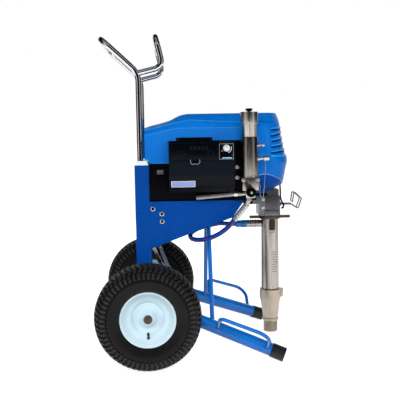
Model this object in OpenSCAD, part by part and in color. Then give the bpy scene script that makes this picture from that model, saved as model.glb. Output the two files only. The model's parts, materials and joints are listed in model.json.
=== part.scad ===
// Airless paint sprayer on a two-wheeled high cart.
// Millimetres, +Z up, +X forward (the pump's end), -Y is the control side.
// Lengths along X are counted from the wheel axle; cart() moves the axle behind
// the origin, so that the origin is the centre of the footprint, on the floor.

/* [Wheels] */
// Outside radius of the tyre
tyre_r = 165; // [155:1:172]
// Half the width of the tyre
tyre_half_w = 62; // [54:1:66]
// Thickness of the tyre's carcass
tyre_wall = 9; // [6:1:12]
// Radius of the rim's flange
rim_flange_r = 89; // [84:1:95]
// Distance of each wheel's middle plane from the cart's middle plane
wheel_y = 285; // [275:1:310]
// Half the width of the rim over its flanges
rim_half_w = 46; // [40:1:50]
// Radius of the axle
axle_r = 8; // [7:0.5:9]
// Wall of the bushes between the axle and the hubs
bush_wall = 6; // [4:0.5:7]
// Wall of the hub tube
hub_wall = 5; // [3:0.5:8]

/* [Frame] */
// Size of an upright along X
upright_w = 45; // [40:1:50]
// Size of an upright along Y
upright_d = 38; // [34:1:42]
// Wall of the uprights
upright_wall = 2.5; // [1.5:0.5:4]
// Distance of an upright's middle from the cart's middle plane
upright_y = 146; // [140:1:152]
// Middle of the uprights, behind the axle
upright_back = 13; // [8:1:18]
// Height of the uprights' top end
upright_top = 625; // [600:1:640]
// Height of the uprights' bottom end
upright_bottom = 140; // [130:1:145]
// Radius of the two legs
leg_r = 21; // [17:0.5:23]
// Wall of the legs
leg_wall = 2; // [1.5:0.5:4]
// Slope of the legs, in degrees
leg_pitch = 20.2; // [18:0.1:23]
// How far the legs splay outwards, in degrees
leg_splay = 14.6; // [10:0.1:18]
// Tip of the legs, ahead of the axle
foot_x = 427; // [400:1:450]
// Tip of the legs, from the middle plane
foot_y = 258; // [240:1:270]
// Wall of the rubber foot caps
foot_wall = 2; // [1.5:0.5:5]
// Length of the rubber foot caps
foot_len = 45; // [30:1:60]
// Radius of the struts between the legs and the deck
strut_r = 7; // [5:0.5:9]
// Radius of the bent rails on the legs
rail_r = 6; // [4:0.5:7]

/* [Deck] */
// Height of the deck's top face
deck_z = 508; // [500:1:515]
// Front edge of the deck, ahead of the axle
deck_front = 316; // [300:1:325]
// Half the width of the deck over its side plates
deck_half_w = 165; // [160:1:170]
// Sheet thickness of the deck and its side plates
sheet_t = 3; // [2:0.5:4]

/* [Handle] */
// Radius of the chromed handle tube
handle_r = 9.5; // [8:0.5:11]
// Wall of the handle tube
handle_wall = 2; // [1:0.5:3]
// Height of the bend where the handle leans back
handle_bend_z = 917; // [890:1:940]
// Lower end of the handle's posts
post_bottom = 430; // [400:5:470]
// How far the push bar reaches behind the posts
push_reach = 119; // [90:1:140]
// How far the push bar rises above the bend
push_rise = 111; // [90:1:130]
// How far the hose hook reaches ahead of the posts
hook_reach = 79; // [60:1:90]
// How far the hose hook rises above the bend
hook_rise = 117; // [90:1:130]

/* [Motor and drive] */
// Radius of the motor housing
motor_r = 80; // [74:1:82]
// Wall of the motor housing
motor_wall = 5; // [3:1:8]
// Rear end of the motor housing
motor_rear = 62; // [58:1:75]
// Rear face of the end bell, ahead of the axle
bell_x = 272; // [268:1:274]
// Height of the motor's shaft
rotor_z = 665; // [660:1:668]
// Height of the crankshaft
crank_z = 605; // [600:1:608]
// Crank radius, half the pump's stroke
crank_throw = 30; // [20:1:32]
// Radius of the motor's armature
armature_r = 50; // [40:1:52]
// Gap between the armature and the stator
air_gap = 1; // [0.5:0.5:2]
// Half the width of the drive housing
drive_half_w = 94; // [92:1:100]
// Height of the drive housing's top
drive_top = 705; // [698:1:712]
// Module of the first gear pair
first_module = 1.5; // [1.5:0.05:1.6]
// Module of the second gear pair
second_module = 1.75; // [1.7:0.05:1.8]
// Play between gear teeth
backlash = 0.35; // [0.2:0.05:0.5]

/* [Covers] */
// Half the width of the motor cover
shroud_half_w = 155; // [152:1:160]
// Height of the cover's flat roof
shroud_top = 788; // [775:1:800]
// Height of the cover's lower edge
shroud_bottom = 630; // [620:1:640]
// Thickness of the covers
cover_wall = 3; // [2:0.5:4]
// Foremost point of the front cover
nose_x = 475; // [466:1:482]
// Joint between the motor cover and the front cover
cover_joint_x = 318; // [316:1:322]

/* [Control box] */
// Rear end of the control box
box_rear = 74; // [66:1:90]
// Front end of the control box
box_front = 280; // [272:1:281]
// Underside of the control box
box_bottom = 535; // [525:1:545]
// Top of the control box
box_top = 701; // [692:1:705]
// How far the control box stands out from the cover
box_depth = 75; // [65:1:85]
// Wall of the control box
box_wall = 3; // [2:0.5:4]
// Radius of the pressure knob
knob_r = 11; // [9:0.5:14]
// Thickness of the display door
door_t = 4; // [3:0.5:5]

/* [Filter] */
// Middle of the filter, ahead of the axle
filter_x = 328; // [322:1:332]
// Middle of the filter, from the middle plane
filter_y = 203; // [198:1:208]
// Radius of the filter bowl
bowl_r = 26.5; // [24:0.5:28]
// Wall of the filter bowl
bowl_wall = 6; // [4:0.5:8]
// Height of the filter bowl's lower end
bowl_bottom = 583; // [575:1:590]
// Height of the filter bowl's upper end
bowl_top = 710; // [700:1:720]
// Radius of the filter cap's neck
neck_r = 24.5; // [22:0.5:26]
// Height of the filter cap's neck
neck_h = 41; // [30:1:50]
// Radius of the filter cap's head
cap_r = 28; // [25:0.5:30]
// Height of the filter cap's head
cap_h = 37; // [30:1:45]

/* [Pump] */
// Pump axis, ahead of the axle
pump_x = 421; // [418:1:424]
// Outside radius of the pump cylinder
cyl_r = 30.5; // [28:0.5:32]
// Wall of the pump cylinder
cyl_wall = 10.5; // [8:0.5:11]
// Upper end of the pump cylinder
cyl_top = 450; // [446:1:451]
// Lower end of the pump cylinder
cyl_bottom = 181; // [170:1:190]
// Radius of the displacement rod
rod_r = 11; // [9:0.5:13]
// Distance between the pins of the connecting rod
con_rod_len = 105; // [100:1:110]
// Radius of the intake housing's upper end
intake_r = 36.7; // [35:0.1:40]
// Radius of the intake's threaded lower end
intake_end_r = 24.2; // [22:0.1:26]
// Length of the intake's threaded lower end
intake_end_h = 38; // [30:1:45]
// Height of the intake's lower end
intake_z = 30; // [20:1:40]
// Radius of the intake ball
ball_r = 13; // [11:0.5:14]

/* [Pail hook] */
// Radius of the hook's wire
wire_r = 2.2; // [1.5:0.1:3]
// How far the hook reaches ahead of its pivot
pail_hook_reach = 75; // [60:1:85]

/* [Hidden] */
$fn = 48;

fit = 0.05;      // radial play of a shaft in its hole
gap = 0.5;       // play between pieces that pass each other
big = 2000;      // larger than the whole machine

// ---- colours ----
BLUE = "#0a4fb0";
DEEP_BLUE = "#0b3f94";
STEEL = "#b9bcc0";
CHROME = "#d9dce0";
NICKEL = "#b5aa9d";
BRONZE = "#3b322a";
BLACK = "#17181a";
RUBBER = "#1c1c1c";
PALE = "#cfe2ea";
TAN = "#c9b9a4";
HOSE = "#1b1b8f";

// ---- derived places ----
axle_z = tyre_r;
upright_x = -upright_back;
upright_front = upright_x + upright_w / 2;
upright_out = upright_y + upright_d / 2;
upright_in = upright_y - upright_d / 2;
post_x = upright_x - 4;
cap_z = upright_top + 14;
hub_r = axle_r + bush_wall + fit + hub_wall;
hub_half = 36;
bush_len = 24;
foot_r = leg_r + foot_wall;
leg_dir = [cos(leg_pitch) * cos(leg_splay), cos(leg_pitch) * sin(leg_splay), -sin(leg_pitch)];
leg_tip = [foot_x, foot_y, foot_r * cos(leg_pitch)];
brace_z = deck_z - 66;
brace_x = 204;
gusset_in = deck_half_w - sheet_t;
bell_t = 12;
drive_x = bell_x + bell_t;
drive_front = drive_x + 72;
gear_x1 = drive_x + 2;
gear_x2 = drive_x + 18;
gear_w = 12;
gear_w2 = 16;
wrist_z = crank_z - crank_throw - con_rod_len;
pin_z = crank_z - crank_throw;
rod_w = 24;
housing_z = cyl_top - 9;
housing_top = 530;
housing_half_w = 48;
hook_pivot = [pump_x + 33, 0, housing_z + 36];
box_back = -shroud_half_w;
box_face = box_back - box_depth;
knuckle_r = 5;
door_hinge = [0, box_face + knuckle_r - 1, box_top + knuckle_r + gap];
door_rear = box_rear + 2;
door_front = box_front - 51;
door_low = box_bottom + 105;
hinge_rear = door_rear + 21;
hinge_front = door_front - 19;
knob_x = box_front - 27;
knob_z = box_top - 24.5;
manifold_z = bowl_bottom - 48;
manifold_half = 25;
manifold_out = -filter_y - 27;
bracket_y = -filter_y + bowl_r + gap;
prime_z = manifold_z + 4;
prime_x = filter_x - 2;
valve_face = manifold_out - 12;
front_x = hook_pivot.x + pail_hook_reach + wire_r;
back_shift = (front_x - tyre_r) / 2;

// The axle stands this far behind the origin
module cart() translate([-back_shift, 0, 0]) children();
module mirrored() for (s = [0, 1]) mirror([0, s, 0]) children();

// ---- straight and bent round bars ----
function unit(v) = v / norm(v);
function cosine(u, v) = max(-1, min(1, u * v));
module bar(a, b, r) {
    d = b - a;
    translate(a) rotate([0, acos(d.z / norm(d)), atan2(d.y, d.x)]) cylinder(h = norm(d), r = r);
}
module bar_x(x0, x1, r) translate([x0, 0, 0]) rotate([0, 90, 0]) cylinder(h = x1 - x0, r = r);
module bar_y(y0, y1, r) translate([0, y0, 0]) rotate([-90, 0, 0]) cylinder(h = y1 - y0, r = r);
module slab(low, high) translate(low) cube(high - low);

// A round bar through the points p, each inner corner bent to the radius bend[i]. Every
// piece is placed from the end of the one before it. An elbow is a hair thicker than the
// straight lengths, which are let into it, so that they make one solid.
thicker = 0.05;
let_in = 0.3;
function leg_of(p, i) = unit(p[i] - p[i - 1]);
function turn(p, i) = acos(cosine(leg_of(p, i), leg_of(p, i + 1)));
function trim(p, i, bend) = (i == 0 || i == len(p) - 1) ? 0 : bend[i] * tan(turn(p, i) / 2);
function bend_axis(p, i) = unit(cross(leg_of(p, i), leg_of(p, i + 1)));
function twist(p, i) = let (m = bend_axis(p, i - 1), n = bend_axis(p, i))
    atan2(cross(m, n) * leg_of(p, i), m * n);
function bend_side(p, i) = let (k = min(i, len(p) - 2)) cross(bend_axis(p, k), leg_of(p, i));
function across(v, o) = [v.x, v.y, v.z, -(v * o)];
module pipe(low, high, r, bore) difference() {
    translate([0, 0, low]) cylinder(h = high - low, r = r);
    if (bore > 0) translate([0, 0, low - 1]) cylinder(h = high - low + 2, r = bore);
}
module elbow(bend, angle, r, bore) translate([bend, 0, 0]) rotate([90, 0, 180])
    rotate_extrude(angle = angle) translate([bend, 0]) difference() {
        circle(r = r + thicker);
        if (bore > 0) circle(r = bore - thicker);
    }
// Brings its children into the frame of the straight length before corner i
module seen_from(p, bend, i) {
    z = leg_of(p, i);
    x = bend_side(p, i);
    o = p[i - 1] + z * trim(p, i - 1, bend);
    multmatrix([across(x, o), across(cross(z, x), o), across(z, o)]) children();
}
// Its children are cut away from the two end lengths
module bend_run(p, bend, r, bore, i) {
    run = norm(p[i] - p[i - 1]) - trim(p, i - 1, bend) - trim(p, i, bend);
    difference() {
        pipe(i > 1 ? -let_in : 0, i < len(p) - 1 ? run + let_in : run, r, bore);
        if ($children > 0 && (i == 1 || i == len(p) - 1)) seen_from(p, bend, i) children();
    }
    if (i < len(p) - 1) translate([0, 0, run]) {
        elbow(bend[i], turn(p, i), r, bore);
        translate([bend[i], 0, 0]) rotate([0, turn(p, i), 0]) translate([-bend[i], 0, 0])
            rotate([0, 0, i < len(p) - 2 ? twist(p, i + 1) : 0])
                if ($children > 0) bend_run(p, bend, r, bore, i + 1) children();
                else bend_run(p, bend, r, bore, i + 1);
    }
}
module bent_bar(p, bend, r, bore = 0) {
    z = leg_of(p, 1);
    x = bend_side(p, 1);
    y = cross(z, x);
    multmatrix([[x.x, y.x, z.x, p[0].x], [x.y, y.y, z.y, p[0].y], [x.z, y.z, z.z, p[0].z]])
        if ($children > 0) bend_run(p, bend, r, bore, 1) children();
        else bend_run(p, bend, r, bore, 1);
}

// ---- a tube swept along a route, for the hose and the chain ----
function ring_side(t) = unit(cross(t, abs(t.z) < 0.9 ? [0, 0, 1] : [1, 0, 0]));
function route_dir(p, i) = unit(p[min(i + 1, len(p) - 1)] - p[max(i - 1, 0)]);
function route_length(p, i = 1) = i >= len(p) ? 0 : norm(p[i] - p[i - 1]) + route_length(p, i + 1);
function next_side(s, t) = unit(s - t * (s * t));
function route_sides(p, i = 0, s = undef) = i >= len(p) ? [] :
    let (t = route_dir(p, i), now = s == undef ? ring_side(t) : next_side(s, t))
    concat([now], route_sides(p, i + 1, now));
module swept_tube(p, r, sides) {
    side = route_sides(p);
    points = [for (i = [0 : len(p) - 1]) let (t = route_dir(p, i), a = side[i], b = cross(t, a))
        for (k = [0 : sides - 1]) p[i] + r * (cos(360 * k / sides) * a + sin(360 * k / sides) * b)];
    walls = [for (i = [0 : len(p) - 2]) for (k = [0 : sides - 1]) let (n = (k + 1) % sides)
        each [[i * sides + k, (i + 1) * sides + k, (i + 1) * sides + n],
              [i * sides + k, (i + 1) * sides + n, i * sides + n]]];
    last = (len(p) - 1) * sides;
    ends = concat([for (k = [1 : sides - 2]) [0, k, k + 1]],
                  [for (k = [1 : sides - 2]) [last, last + k + 1, last + k]]);
    polyhedron(points = points, faces = concat(walls, ends), convexity = 6);
}

// ---- gears ----
pressure = 20;
function involute(a) = tan(a) * 180 / PI - a;
function half_tooth(m, z, r) = let (rp = m * z / 2, rb = rp * cos(pressure), q = max(r, rb))
    90 / z - backlash / 4 / rp * 180 / PI + involute(pressure) - involute(acos(rb / q));
function gear_radii(m, z) = let (rp = m * z / 2)
    [rp - 1.15 * m, rp - 0.4 * m, rp, rp + 0.45 * m, rp + 0.85 * m];
function polar(r, a) = r * [cos(a), sin(a)];
module gear(m, z, h, phase) {
    radii = gear_radii(m, z);
    outline = [for (i = [0 : z - 1]) let (mid = phase + 360 * i / z)
        each concat([for (r = radii) polar(r, mid - half_tooth(m, z, r))],
                    [for (k = [len(radii) - 1 : -1 : 0])
                        polar(radii[k], mid + half_tooth(m, z, radii[k]))])];
    rotate([90, 0, 90]) linear_extrude(h) polygon(outline);
}
pinion_teeth = 13;
wheel_teeth = 53;
pinion2_teeth = 14;
wheel2_teeth = 48;
reach1 = first_module * (pinion_teeth + wheel_teeth) / 2;
reach2 = second_module * (pinion2_teeth + wheel2_teeth) / 2;
shaft_gap = rotor_z - crank_z;
idler_up = (reach2 * reach2 - reach1 * reach1 + shaft_gap * shaft_gap) / (2 * shaft_gap);
idler_y = sqrt(reach2 * reach2 - idler_up * idler_up);
idler_z = crank_z + idler_up;
to_idler = atan2(idler_z - rotor_z, idler_y);
to_crank = atan2(crank_z - idler_z, -idler_y);
rotor_shaft_r = 7.5;
idler_shaft_r = 8;
crank_shaft_r = 16;
rotor_seat_r = 17.5;
idler_seat_r = 13;
crank_seat_r = 26;

// ================= wheels =================
function power(c, e) = sign(c) * pow(abs(c), e);
roundness = 2.6;
bead_r = rim_flange_r - 12.5;
rim_t = 3;
stem_at = 66;
rim_face = [[1, 1], [0.9, 0.98], [0.83, 0.8], [0.74, 0.5], [0.6, 0.34], [0.54, 0.13]];
function tyre_section(inset) = let (mid = (bead_r + tyre_r) / 2, half = (tyre_r - bead_r) / 2)
    [for (a = [0 : 10 : 350]) [mid + (half - inset) * power(cos(a), 2 / roundness),
                               (tyre_half_w - inset) * power(sin(a), 2 / roundness)]];
function rim_skin() = [for (k = [0 : 4])
    [rim_face[k][0] * rim_flange_r + (k == 0 ? 0 : 0.7 * rim_t), rim_face[k][1] * rim_half_w - rim_t]];
function rim_back() = concat([for (q = rim_skin()) [q[0], -q[1]]], [for (k = [4 : -1 : 0]) rim_skin()[k]]);
module tyre_solid(side) {
    rotate_extrude() difference() {
        polygon(tyre_section(0));
        polygon(tyre_section(tyre_wall));
        translate([0, -rim_half_w + 12]) square([bead_r + 12, 2 * rim_half_w - 24]);
        polygon(concat([[0, -rim_half_w - 8], [rim_flange_r, -rim_half_w - 8]], rim_back(),
                       [[rim_flange_r, rim_half_w + 8], [0, rim_half_w + 8]]));
        for (s = [-1, 1]) translate([tyre_r - 4, s * 13 - 2.5]) square([10, 5]);
    }
    valve_stem(side);
}
// The valve leaves the rim at the bottom of its dish
module valve_stem(side) translate([0, side * stem_at, 12]) cylinder(h = 30, r = 4);
module rim_solid(side) {
    bore = axle_r + bush_wall + fit;
    face = [for (q = rim_face) [q[0] * rim_flange_r, q[1] * rim_half_w]];
    front = concat(face, [[hub_r, face[5][1]], [hub_r, hub_half], [bore, hub_half]]);
    back = [for (k = [len(front) - 1 : -1 : 0]) [front[k][0], -front[k][1]]];
    difference() {
        rotate_extrude() polygon(concat(front, back, rim_back()));
        valve_stem(side);
    }
}
module at_wheel(side) translate([0, side * wheel_y, axle_z]) rotate([side > 0 ? -90 : 90, 0, 0]) children();
module tyre_left() color(RUBBER) cart() at_wheel(1) tyre_solid(1);
module tyre_right() color(RUBBER) cart() at_wheel(-1) tyre_solid(-1);
module rim_left() color(PALE) cart() at_wheel(1) rim_solid(1);
module rim_right() color(PALE) cart() at_wheel(-1) rim_solid(-1);

// ================= axle and frame =================
axle_half = wheel_y + hub_half + 6;
module axle() color(STEEL) cart() translate([0, 0, axle_z]) {
    bar_y(-axle_half, axle_half, axle_r);
    mirrored() {
        bar_y(axle_half - 5, axle_half, axle_r + 5);
        bar_y(wheel_y - hub_half - 5, wheel_y - hub_half - 1, axle_r + 5);
    }
}
module axle_bushes() color(BRONZE) cart() translate([0, 0, axle_z]) mirrored()
    for (y = [wheel_y - hub_half, wheel_y + hub_half - bush_len]) difference() {
        bar_y(y, y + bush_len, axle_r + bush_wall);
        bar_y(y - 1, y + bush_len + 1, axle_r);
    }

module uprights() color(DEEP_BLUE) cart() mirrored() difference() {
    slab([upright_x - upright_w / 2, upright_in, upright_bottom],
         [upright_front, upright_out, upright_top]);
    slab([upright_x - upright_w / 2 + upright_wall, upright_in + upright_wall, 0],
         [upright_front - upright_wall, upright_out - upright_wall, upright_top + 1]);
    translate([0, 0, axle_z]) bar_y(0, big, axle_r);
}
module upright_caps() color("#dfe6ee") cart() mirrored() difference() {
    union() {
        intersection() {
            rotate([90, 0, 0]) translate([0, 0, -big / 2]) linear_extrude(big)
                polygon([[upright_x - upright_w / 2, upright_top], [upright_front, upright_top],
                         [upright_front - 6, cap_z], [upright_x - upright_w / 2 + 8, cap_z]]);
            slab([-big, upright_in, upright_top], [big, upright_out, cap_z]);
        }
        for (z = [upright_top - 30, post_bottom + 40]) slab(
            [upright_x - upright_w / 2 + upright_wall, upright_in + upright_wall, z],
            [upright_front - upright_wall, upright_out - upright_wall, z + (z > 500 ? 30 : 12)]);
    }
    translate([post_x, upright_y, 0]) cylinder(h = big, r = handle_r + fit);
    slab([post_x - 4.5, upright_y, 0], [post_x + 4.5, upright_y + handle_r + 7, cap_z + 1]);
}

tab_front = upright_front + 50;
bar_size = 25;
bar_wall = 2;
bar_heights = [upright_bottom + 50, upright_bottom + 200, deck_z - sheet_t - bar_size];
module square_tube(at, size, half) translate([at[0], 0, at[1]]) difference() {
    inner = size / 2 - bar_wall;
    slab([-size / 2, -half, -size / 2], [size / 2, half, size / 2]);
    slab([-inner, -half - 1, -inner], [inner, half + 1, inner]);
}
module frame_crossbars() color(DEEP_BLUE) cart() {
    for (z = bar_heights) square_tube([upright_x, z + bar_size / 2], bar_size, upright_in);
    square_tube([brace_x, brace_z + 10], 20, gusset_in);
    mirrored() difference() {
        slab([upright_front, gusset_in - 4, deck_z - 84], [tab_front, gusset_in, deck_z - 8]);
        gusset_holes();
    }
}

leg_end = 4;
leg_reach = (foot_x - upright_front) / leg_dir.x;
function leg_at(x) = leg_tip - leg_dir * (foot_x - x) / leg_dir.x;
module leg_bar(r, stop = leg_end) bar(leg_tip - leg_dir * (leg_reach + 40), leg_tip - leg_dir * stop, r);
module behind_uprights() slab([-big, -big, -big], [upright_front, big, big]);
module legs() color(BLUE) cart() mirrored() difference() {
    leg_bar(leg_r);
    leg_bar(leg_r - leg_wall, leg_end + leg_wall);
    behind_uprights();
}
module foot_caps() color(RUBBER) cart() mirrored() difference() {
    bar(leg_tip - leg_dir * foot_len, leg_tip, foot_r);
    leg_bar(leg_r);
}
strut_top_y = 62;
module struts() color(BLUE) cart() mirrored() difference() {
    bar(leg_at(brace_x) + [0, -12, 0], [brace_x, strut_top_y - 2, brace_z + 5], strut_r);
    leg_bar(leg_r);
    slab([0, 0, brace_z], [big, big, big]);
}
brace_foot = leg_at(upright_front + 95);
brace_top = [upright_front, 0, deck_z - 120];
module leg_braces() color(STEEL) cart() mirrored() difference() {
    translate([0, upright_y + 6, 0]) rotate([90, 0, 0]) linear_extrude(6)
        polygon([[brace_top.x - 5, brace_top.z + 22], [brace_top.x - 5, brace_top.z],
                 [brace_foot.x - 10, brace_foot.z - 5], [brace_foot.x + 10, brace_foot.z - 5]]);
    leg_bar(leg_r);
    behind_uprights();
}
rail_rear = 221;
rail_front = 372;
rail_out = 95;
rail_up = 57;
module leg_rails() color(BLUE) cart() mirrored()
    bent_bar([leg_at(rail_rear) + [0, 14, 3], leg_at(rail_rear) + [0, rail_out, rail_up],
              leg_at(rail_front) + [0, rail_out, rail_up + 5], leg_at(rail_front) + [0, 14, 3]],
             [0, 20, 45, 0], rail_r) leg_bar(leg_r);

// ================= deck =================
bolt_r = 3;
gusset_bolts = [[upright_front + 11, deck_z - 22.5], [upright_front + 39.5, deck_z - 39.5],
                [upright_front + 39.5, deck_z - 63.5]];
gusset_h = 153;
module gusset_holes() for (b = gusset_bolts) translate([b[0], 0, b[1]]) bar_y(-big, big, bolt_r);
module deck_plate() color(DEEP_BLUE) cart()
    slab([upright_front, -gusset_in, deck_z - sheet_t], [deck_front, gusset_in, deck_z]);
module gussets() color(DEEP_BLUE) cart() mirrored() difference() {
    translate([0, deck_half_w, 0]) rotate([90, 0, 0]) linear_extrude(sheet_t)
        polygon([[upright_front, deck_z], [deck_front, deck_z], [deck_front - 40, deck_z - 56],
                 [upright_front, deck_z - gusset_h]]);
    gusset_holes();
}
screw_x = filter_x - bowl_r - 2.1 * bolt_r - 3.7;
bracket_screws = [[screw_x, bowl_bottom + 31], [screw_x, bowl_bottom - 2]];
module bolt(at) translate([at[0], 0, at[1]]) {
    bar_y(0, 4.5, 2.1 * bolt_r);
    bar_y(-7, 0, bolt_r);
}
module hex_bolts() color(STEEL) cart() {
    mirrored() for (b = gusset_bolts) translate([0, deck_half_w, 0]) bolt(b);
    translate([0, bracket_y, 0]) mirror([0, 1, 0]) for (b = bracket_screws) bolt(b);
}

// ================= motor and drive =================
base_rear = 12;
base_front = bell_x - 2;
base_wall = 4;
switch_at = [46, box_back + base_wall / 2, 602];
module motor_base() color(BLACK) cart() difference() {
    union() {
        difference() {
            slab([base_rear, -shroud_half_w, deck_z], [base_front, shroud_half_w, shroud_bottom]);
            slab([base_rear + base_wall, base_wall - shroud_half_w, deck_z + base_wall],
                 [base_front - base_wall, shroud_half_w - base_wall, shroud_bottom + 1]);
        }
        for (x = [motor_rear + 30, bell_x - 50])
            slab([x, base_wall - shroud_half_w, deck_z + base_wall],
                 [x + 10, shroud_half_w - base_wall, shroud_bottom]);
    }
    translate([0, 0, rotor_z]) bar_x(motor_rear, bell_x, motor_r);
    slab(switch_at - [11, 5, 9], switch_at + [11, 5, 9]);
    translate([0, switch_at.y, switch_at.z]) bar_x(switch_at.x - 16, switch_at.x + 16, 1.2 + fit);
    translate([0, inlet_y, inlet_z]) bar_x(0, base_rear + base_wall + 1, inlet_r);
}
inlet_y = 60;
inlet_z = 560;
inlet_r = 9;
module power_inlet() color(BLACK) cart() translate([0, inlet_y, inlet_z]) difference() {
    union() {
        bar_x(base_rear - 14, base_rear, inlet_r + 4);
        bar_x(base_rear - 1, base_rear + base_wall, inlet_r);
    }
    bar_x(-big / 2, big / 2, 4.5);
}
module motor_housing() color(BLACK) cart() translate([0, 0, rotor_z]) difference() {
    union() {
        bar_x(motor_rear, bell_x, motor_r);
        bar_x(motor_rear - 18, motor_rear, motor_r - 22);
    }
    bar_x(motor_rear + 6, bell_x + 1, motor_r - motor_wall);
    bar_x(motor_rear - 14, motor_rear + 7, rotor_seat_r);
}
module stator() color("#6e5a48") cart() translate([0, 0, rotor_z]) difference() {
    bar_x(stator_x, stator_x + stator_len, motor_r - motor_wall);
    bar_x(stator_x - 1, stator_x + stator_len + 1, armature_r + air_gap);
}
stator_x = 122;
stator_len = 96;
module end_bell() color(STEEL) cart() difference() {
    slab([bell_x, -drive_half_w, deck_z], [drive_x, drive_half_w, drive_top]);
    translate([0, 0, rotor_z]) bar_x(bell_x - 1, drive_x + 1, rotor_seat_r);
    translate([0, idler_y, idler_z]) bar_x(bell_x - 1, drive_x + 1, idler_seat_r);
}
drive_wall = 8;
wall_x = drive_front - 28;
module drive_housing() color(BLACK) cart() difference() {
    union() {
        slab([drive_x, -drive_half_w, deck_z], [drive_front, drive_half_w, drive_top]);
        slab([wall_x, -housing_half_w, housing_top - 48], [drive_front, housing_half_w, deck_z + 1]);
    }
    slab([drive_x - 1, drive_wall - drive_half_w, deck_z + drive_wall],
         [wall_x, drive_half_w - drive_wall, drive_top - drive_wall]);
    translate([0, 0, crank_z]) bar_x(wall_x - 1, drive_front + 1, crank_seat_r);
    translate([0, idler_y, idler_z]) bar_x(wall_x - 1, wall_x + 10, idler_seat_r);
}
module bearing_ring(x0, x1, inner, outer) difference() {
    bar_x(x0, x1, outer);
    bar_x(x0 - 1, x1 + 1, inner + fit);
}
module shaft_bearings() color(CHROME) cart() {
    translate([0, 0, rotor_z]) {
        bearing_ring(motor_rear - 12, motor_rear, rotor_shaft_r, rotor_seat_r);
        bearing_ring(bell_x, drive_x, rotor_shaft_r, rotor_seat_r);
    }
    translate([0, idler_y, idler_z]) {
        bearing_ring(bell_x, drive_x, idler_shaft_r, idler_seat_r);
        bearing_ring(wall_x, wall_x + 10, idler_shaft_r, idler_seat_r);
    }
    translate([0, 0, crank_z]) {
        bearing_ring(wall_x, wall_x + 12, crank_shaft_r, crank_seat_r);
        bearing_ring(wall_x + 16, drive_front, crank_shaft_r, crank_seat_r);
    }
}
fan_blades = 9;
module motor_rotor() color(STEEL) cart() translate([0, 0, rotor_z]) {
    bar_x(motor_rear - 11, gear_x1 + gear_w, rotor_shaft_r);
    bar_x(stator_x + 2, stator_x + stator_len - 2, armature_r);
    bar_x(motor_rear + 12, motor_rear + 16, armature_r + 8);
    for (k = [0 : fan_blades - 1]) rotate([360 * k / fan_blades, 0, 0])
        slab([motor_rear + 15, -1.5, 16], [motor_rear + 28, 1.5, armature_r + 6]);
    translate([gear_x1, 0, 0]) gear(first_module, pinion_teeth, gear_w, to_idler);
}
module idler_gear() color(STEEL) cart() translate([0, idler_y, idler_z]) {
    bar_x(bell_x + 1, wall_x + 9, idler_shaft_r);
    translate([gear_x1, 0, 0]) gear(first_module, wheel_teeth, gear_w, to_idler + 180 + 180 / wheel_teeth);
    translate([gear_x2, 0, 0]) gear(second_module, pinion2_teeth, gear_w2, to_crank);
}
web_x = drive_front + 4;
rod_x = pump_x - rod_w / 2;
crank_pin_r = 12;
module crankshaft() color(STEEL) cart() {
    translate([0, 0, crank_z]) {
        bar_x(gear_x2 - 2, web_x + 1, crank_shaft_r);
        bar_x(web_x, web_x + 25, crank_throw + 15);
        translate([gear_x2, 0, 0])
            gear(second_module, wheel2_teeth, gear_w2, to_crank + 180 + 180 / wheel2_teeth);
    }
    translate([0, 0, pin_z]) bar_x(web_x + 20, rod_x - gap, crank_pin_r);
}
wrist_r = 6;
ear_t = 6;
module connecting_rod() color(CHROME) cart() {
    difference() {
        union() {
            translate([0, 0, pin_z]) bar_x(rod_x, rod_x + rod_w, crank_pin_r + 10);
            translate([0, 0, wrist_z]) bar_x(rod_x, rod_x + rod_w, wrist_r + 9);
            slab([rod_x, -8, wrist_z], [rod_x + rod_w, 8, pin_z]);
        }
        translate([0, 0, pin_z]) bar_x(rod_x - 1, rod_x + rod_w + 1, crank_pin_r + fit);
        slab([rod_x + ear_t, -big, wrist_z - big], [rod_x + rod_w - ear_t, big, wrist_z + wrist_r + 12]);
    }
    translate([0, 0, wrist_z]) bar_x(rod_x, rod_x + rod_w, wrist_r);
}

// ================= pump =================
cyl_bore = cyl_r - cyl_wall;
cyl_low = cyl_bottom - 16;
piston_z = cyl_bottom + 24;
module at_pump() translate([pump_x, 0, 0]) children();
module piston_rod() color(CHROME) cart() {
    difference() {
        union() {
            at_pump() translate([0, 0, piston_z]) cylinder(h = wrist_z - 17 - piston_z, r = rod_r);
            tongue = [rod_x + ear_t + 0.3, rod_x + rod_w - ear_t - 0.3];
            slab([tongue[0], -rod_r + 1, wrist_z - 22], [tongue[1], rod_r - 1, wrist_z]);
            translate([0, 0, wrist_z]) bar_x(tongue[0], tongue[1], wrist_r + 7);
        }
        translate([0, 0, wrist_z]) bar_x(0, big, wrist_r + fit);
    }
    at_pump() translate([0, 0, piston_z]) cylinder(h = 40, r = cyl_bore - fit);
}
module pump_cylinder() color(NICKEL) cart() at_pump() difference() {
    translate([0, 0, cyl_low]) cylinder(h = cyl_top - cyl_low, r = cyl_r);
    translate([0, 0, cyl_low - 1]) cylinder(h = big, r = cyl_bore);
    slab([-10, -cyl_r - 1, outlet_z - 29], [10, -cyl_r + 5, outlet_z + 9]);
    translate([-4, 0, outlet_z - 38]) bar_y(-cyl_r - 1, -cyl_r + 4, 3);
}
outlet_z = cyl_top - 40;
module rod_packings() color("#e5e0d0") cart() at_pump() for (k = [0 : 3])
    translate([0, 0, outlet_z - 18 + 7 * k]) difference() {
        cylinder(h = 7, r = cyl_bore);
        translate([0, 0, -1]) cylinder(h = 9, r = rod_r + fit);
    }
module jam_nut() color(BRONZE) cart() at_pump() difference() {
    union() {
        translate([0, 0, housing_z - 14]) cylinder(h = 14, r = cyl_r + 6.5);
        slab([-70, -8, housing_z - 13], [70, 8, housing_z - 4]);
    }
    translate([0, 0, housing_z - 20]) cylinder(h = 30, r = cyl_r);
}
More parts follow.
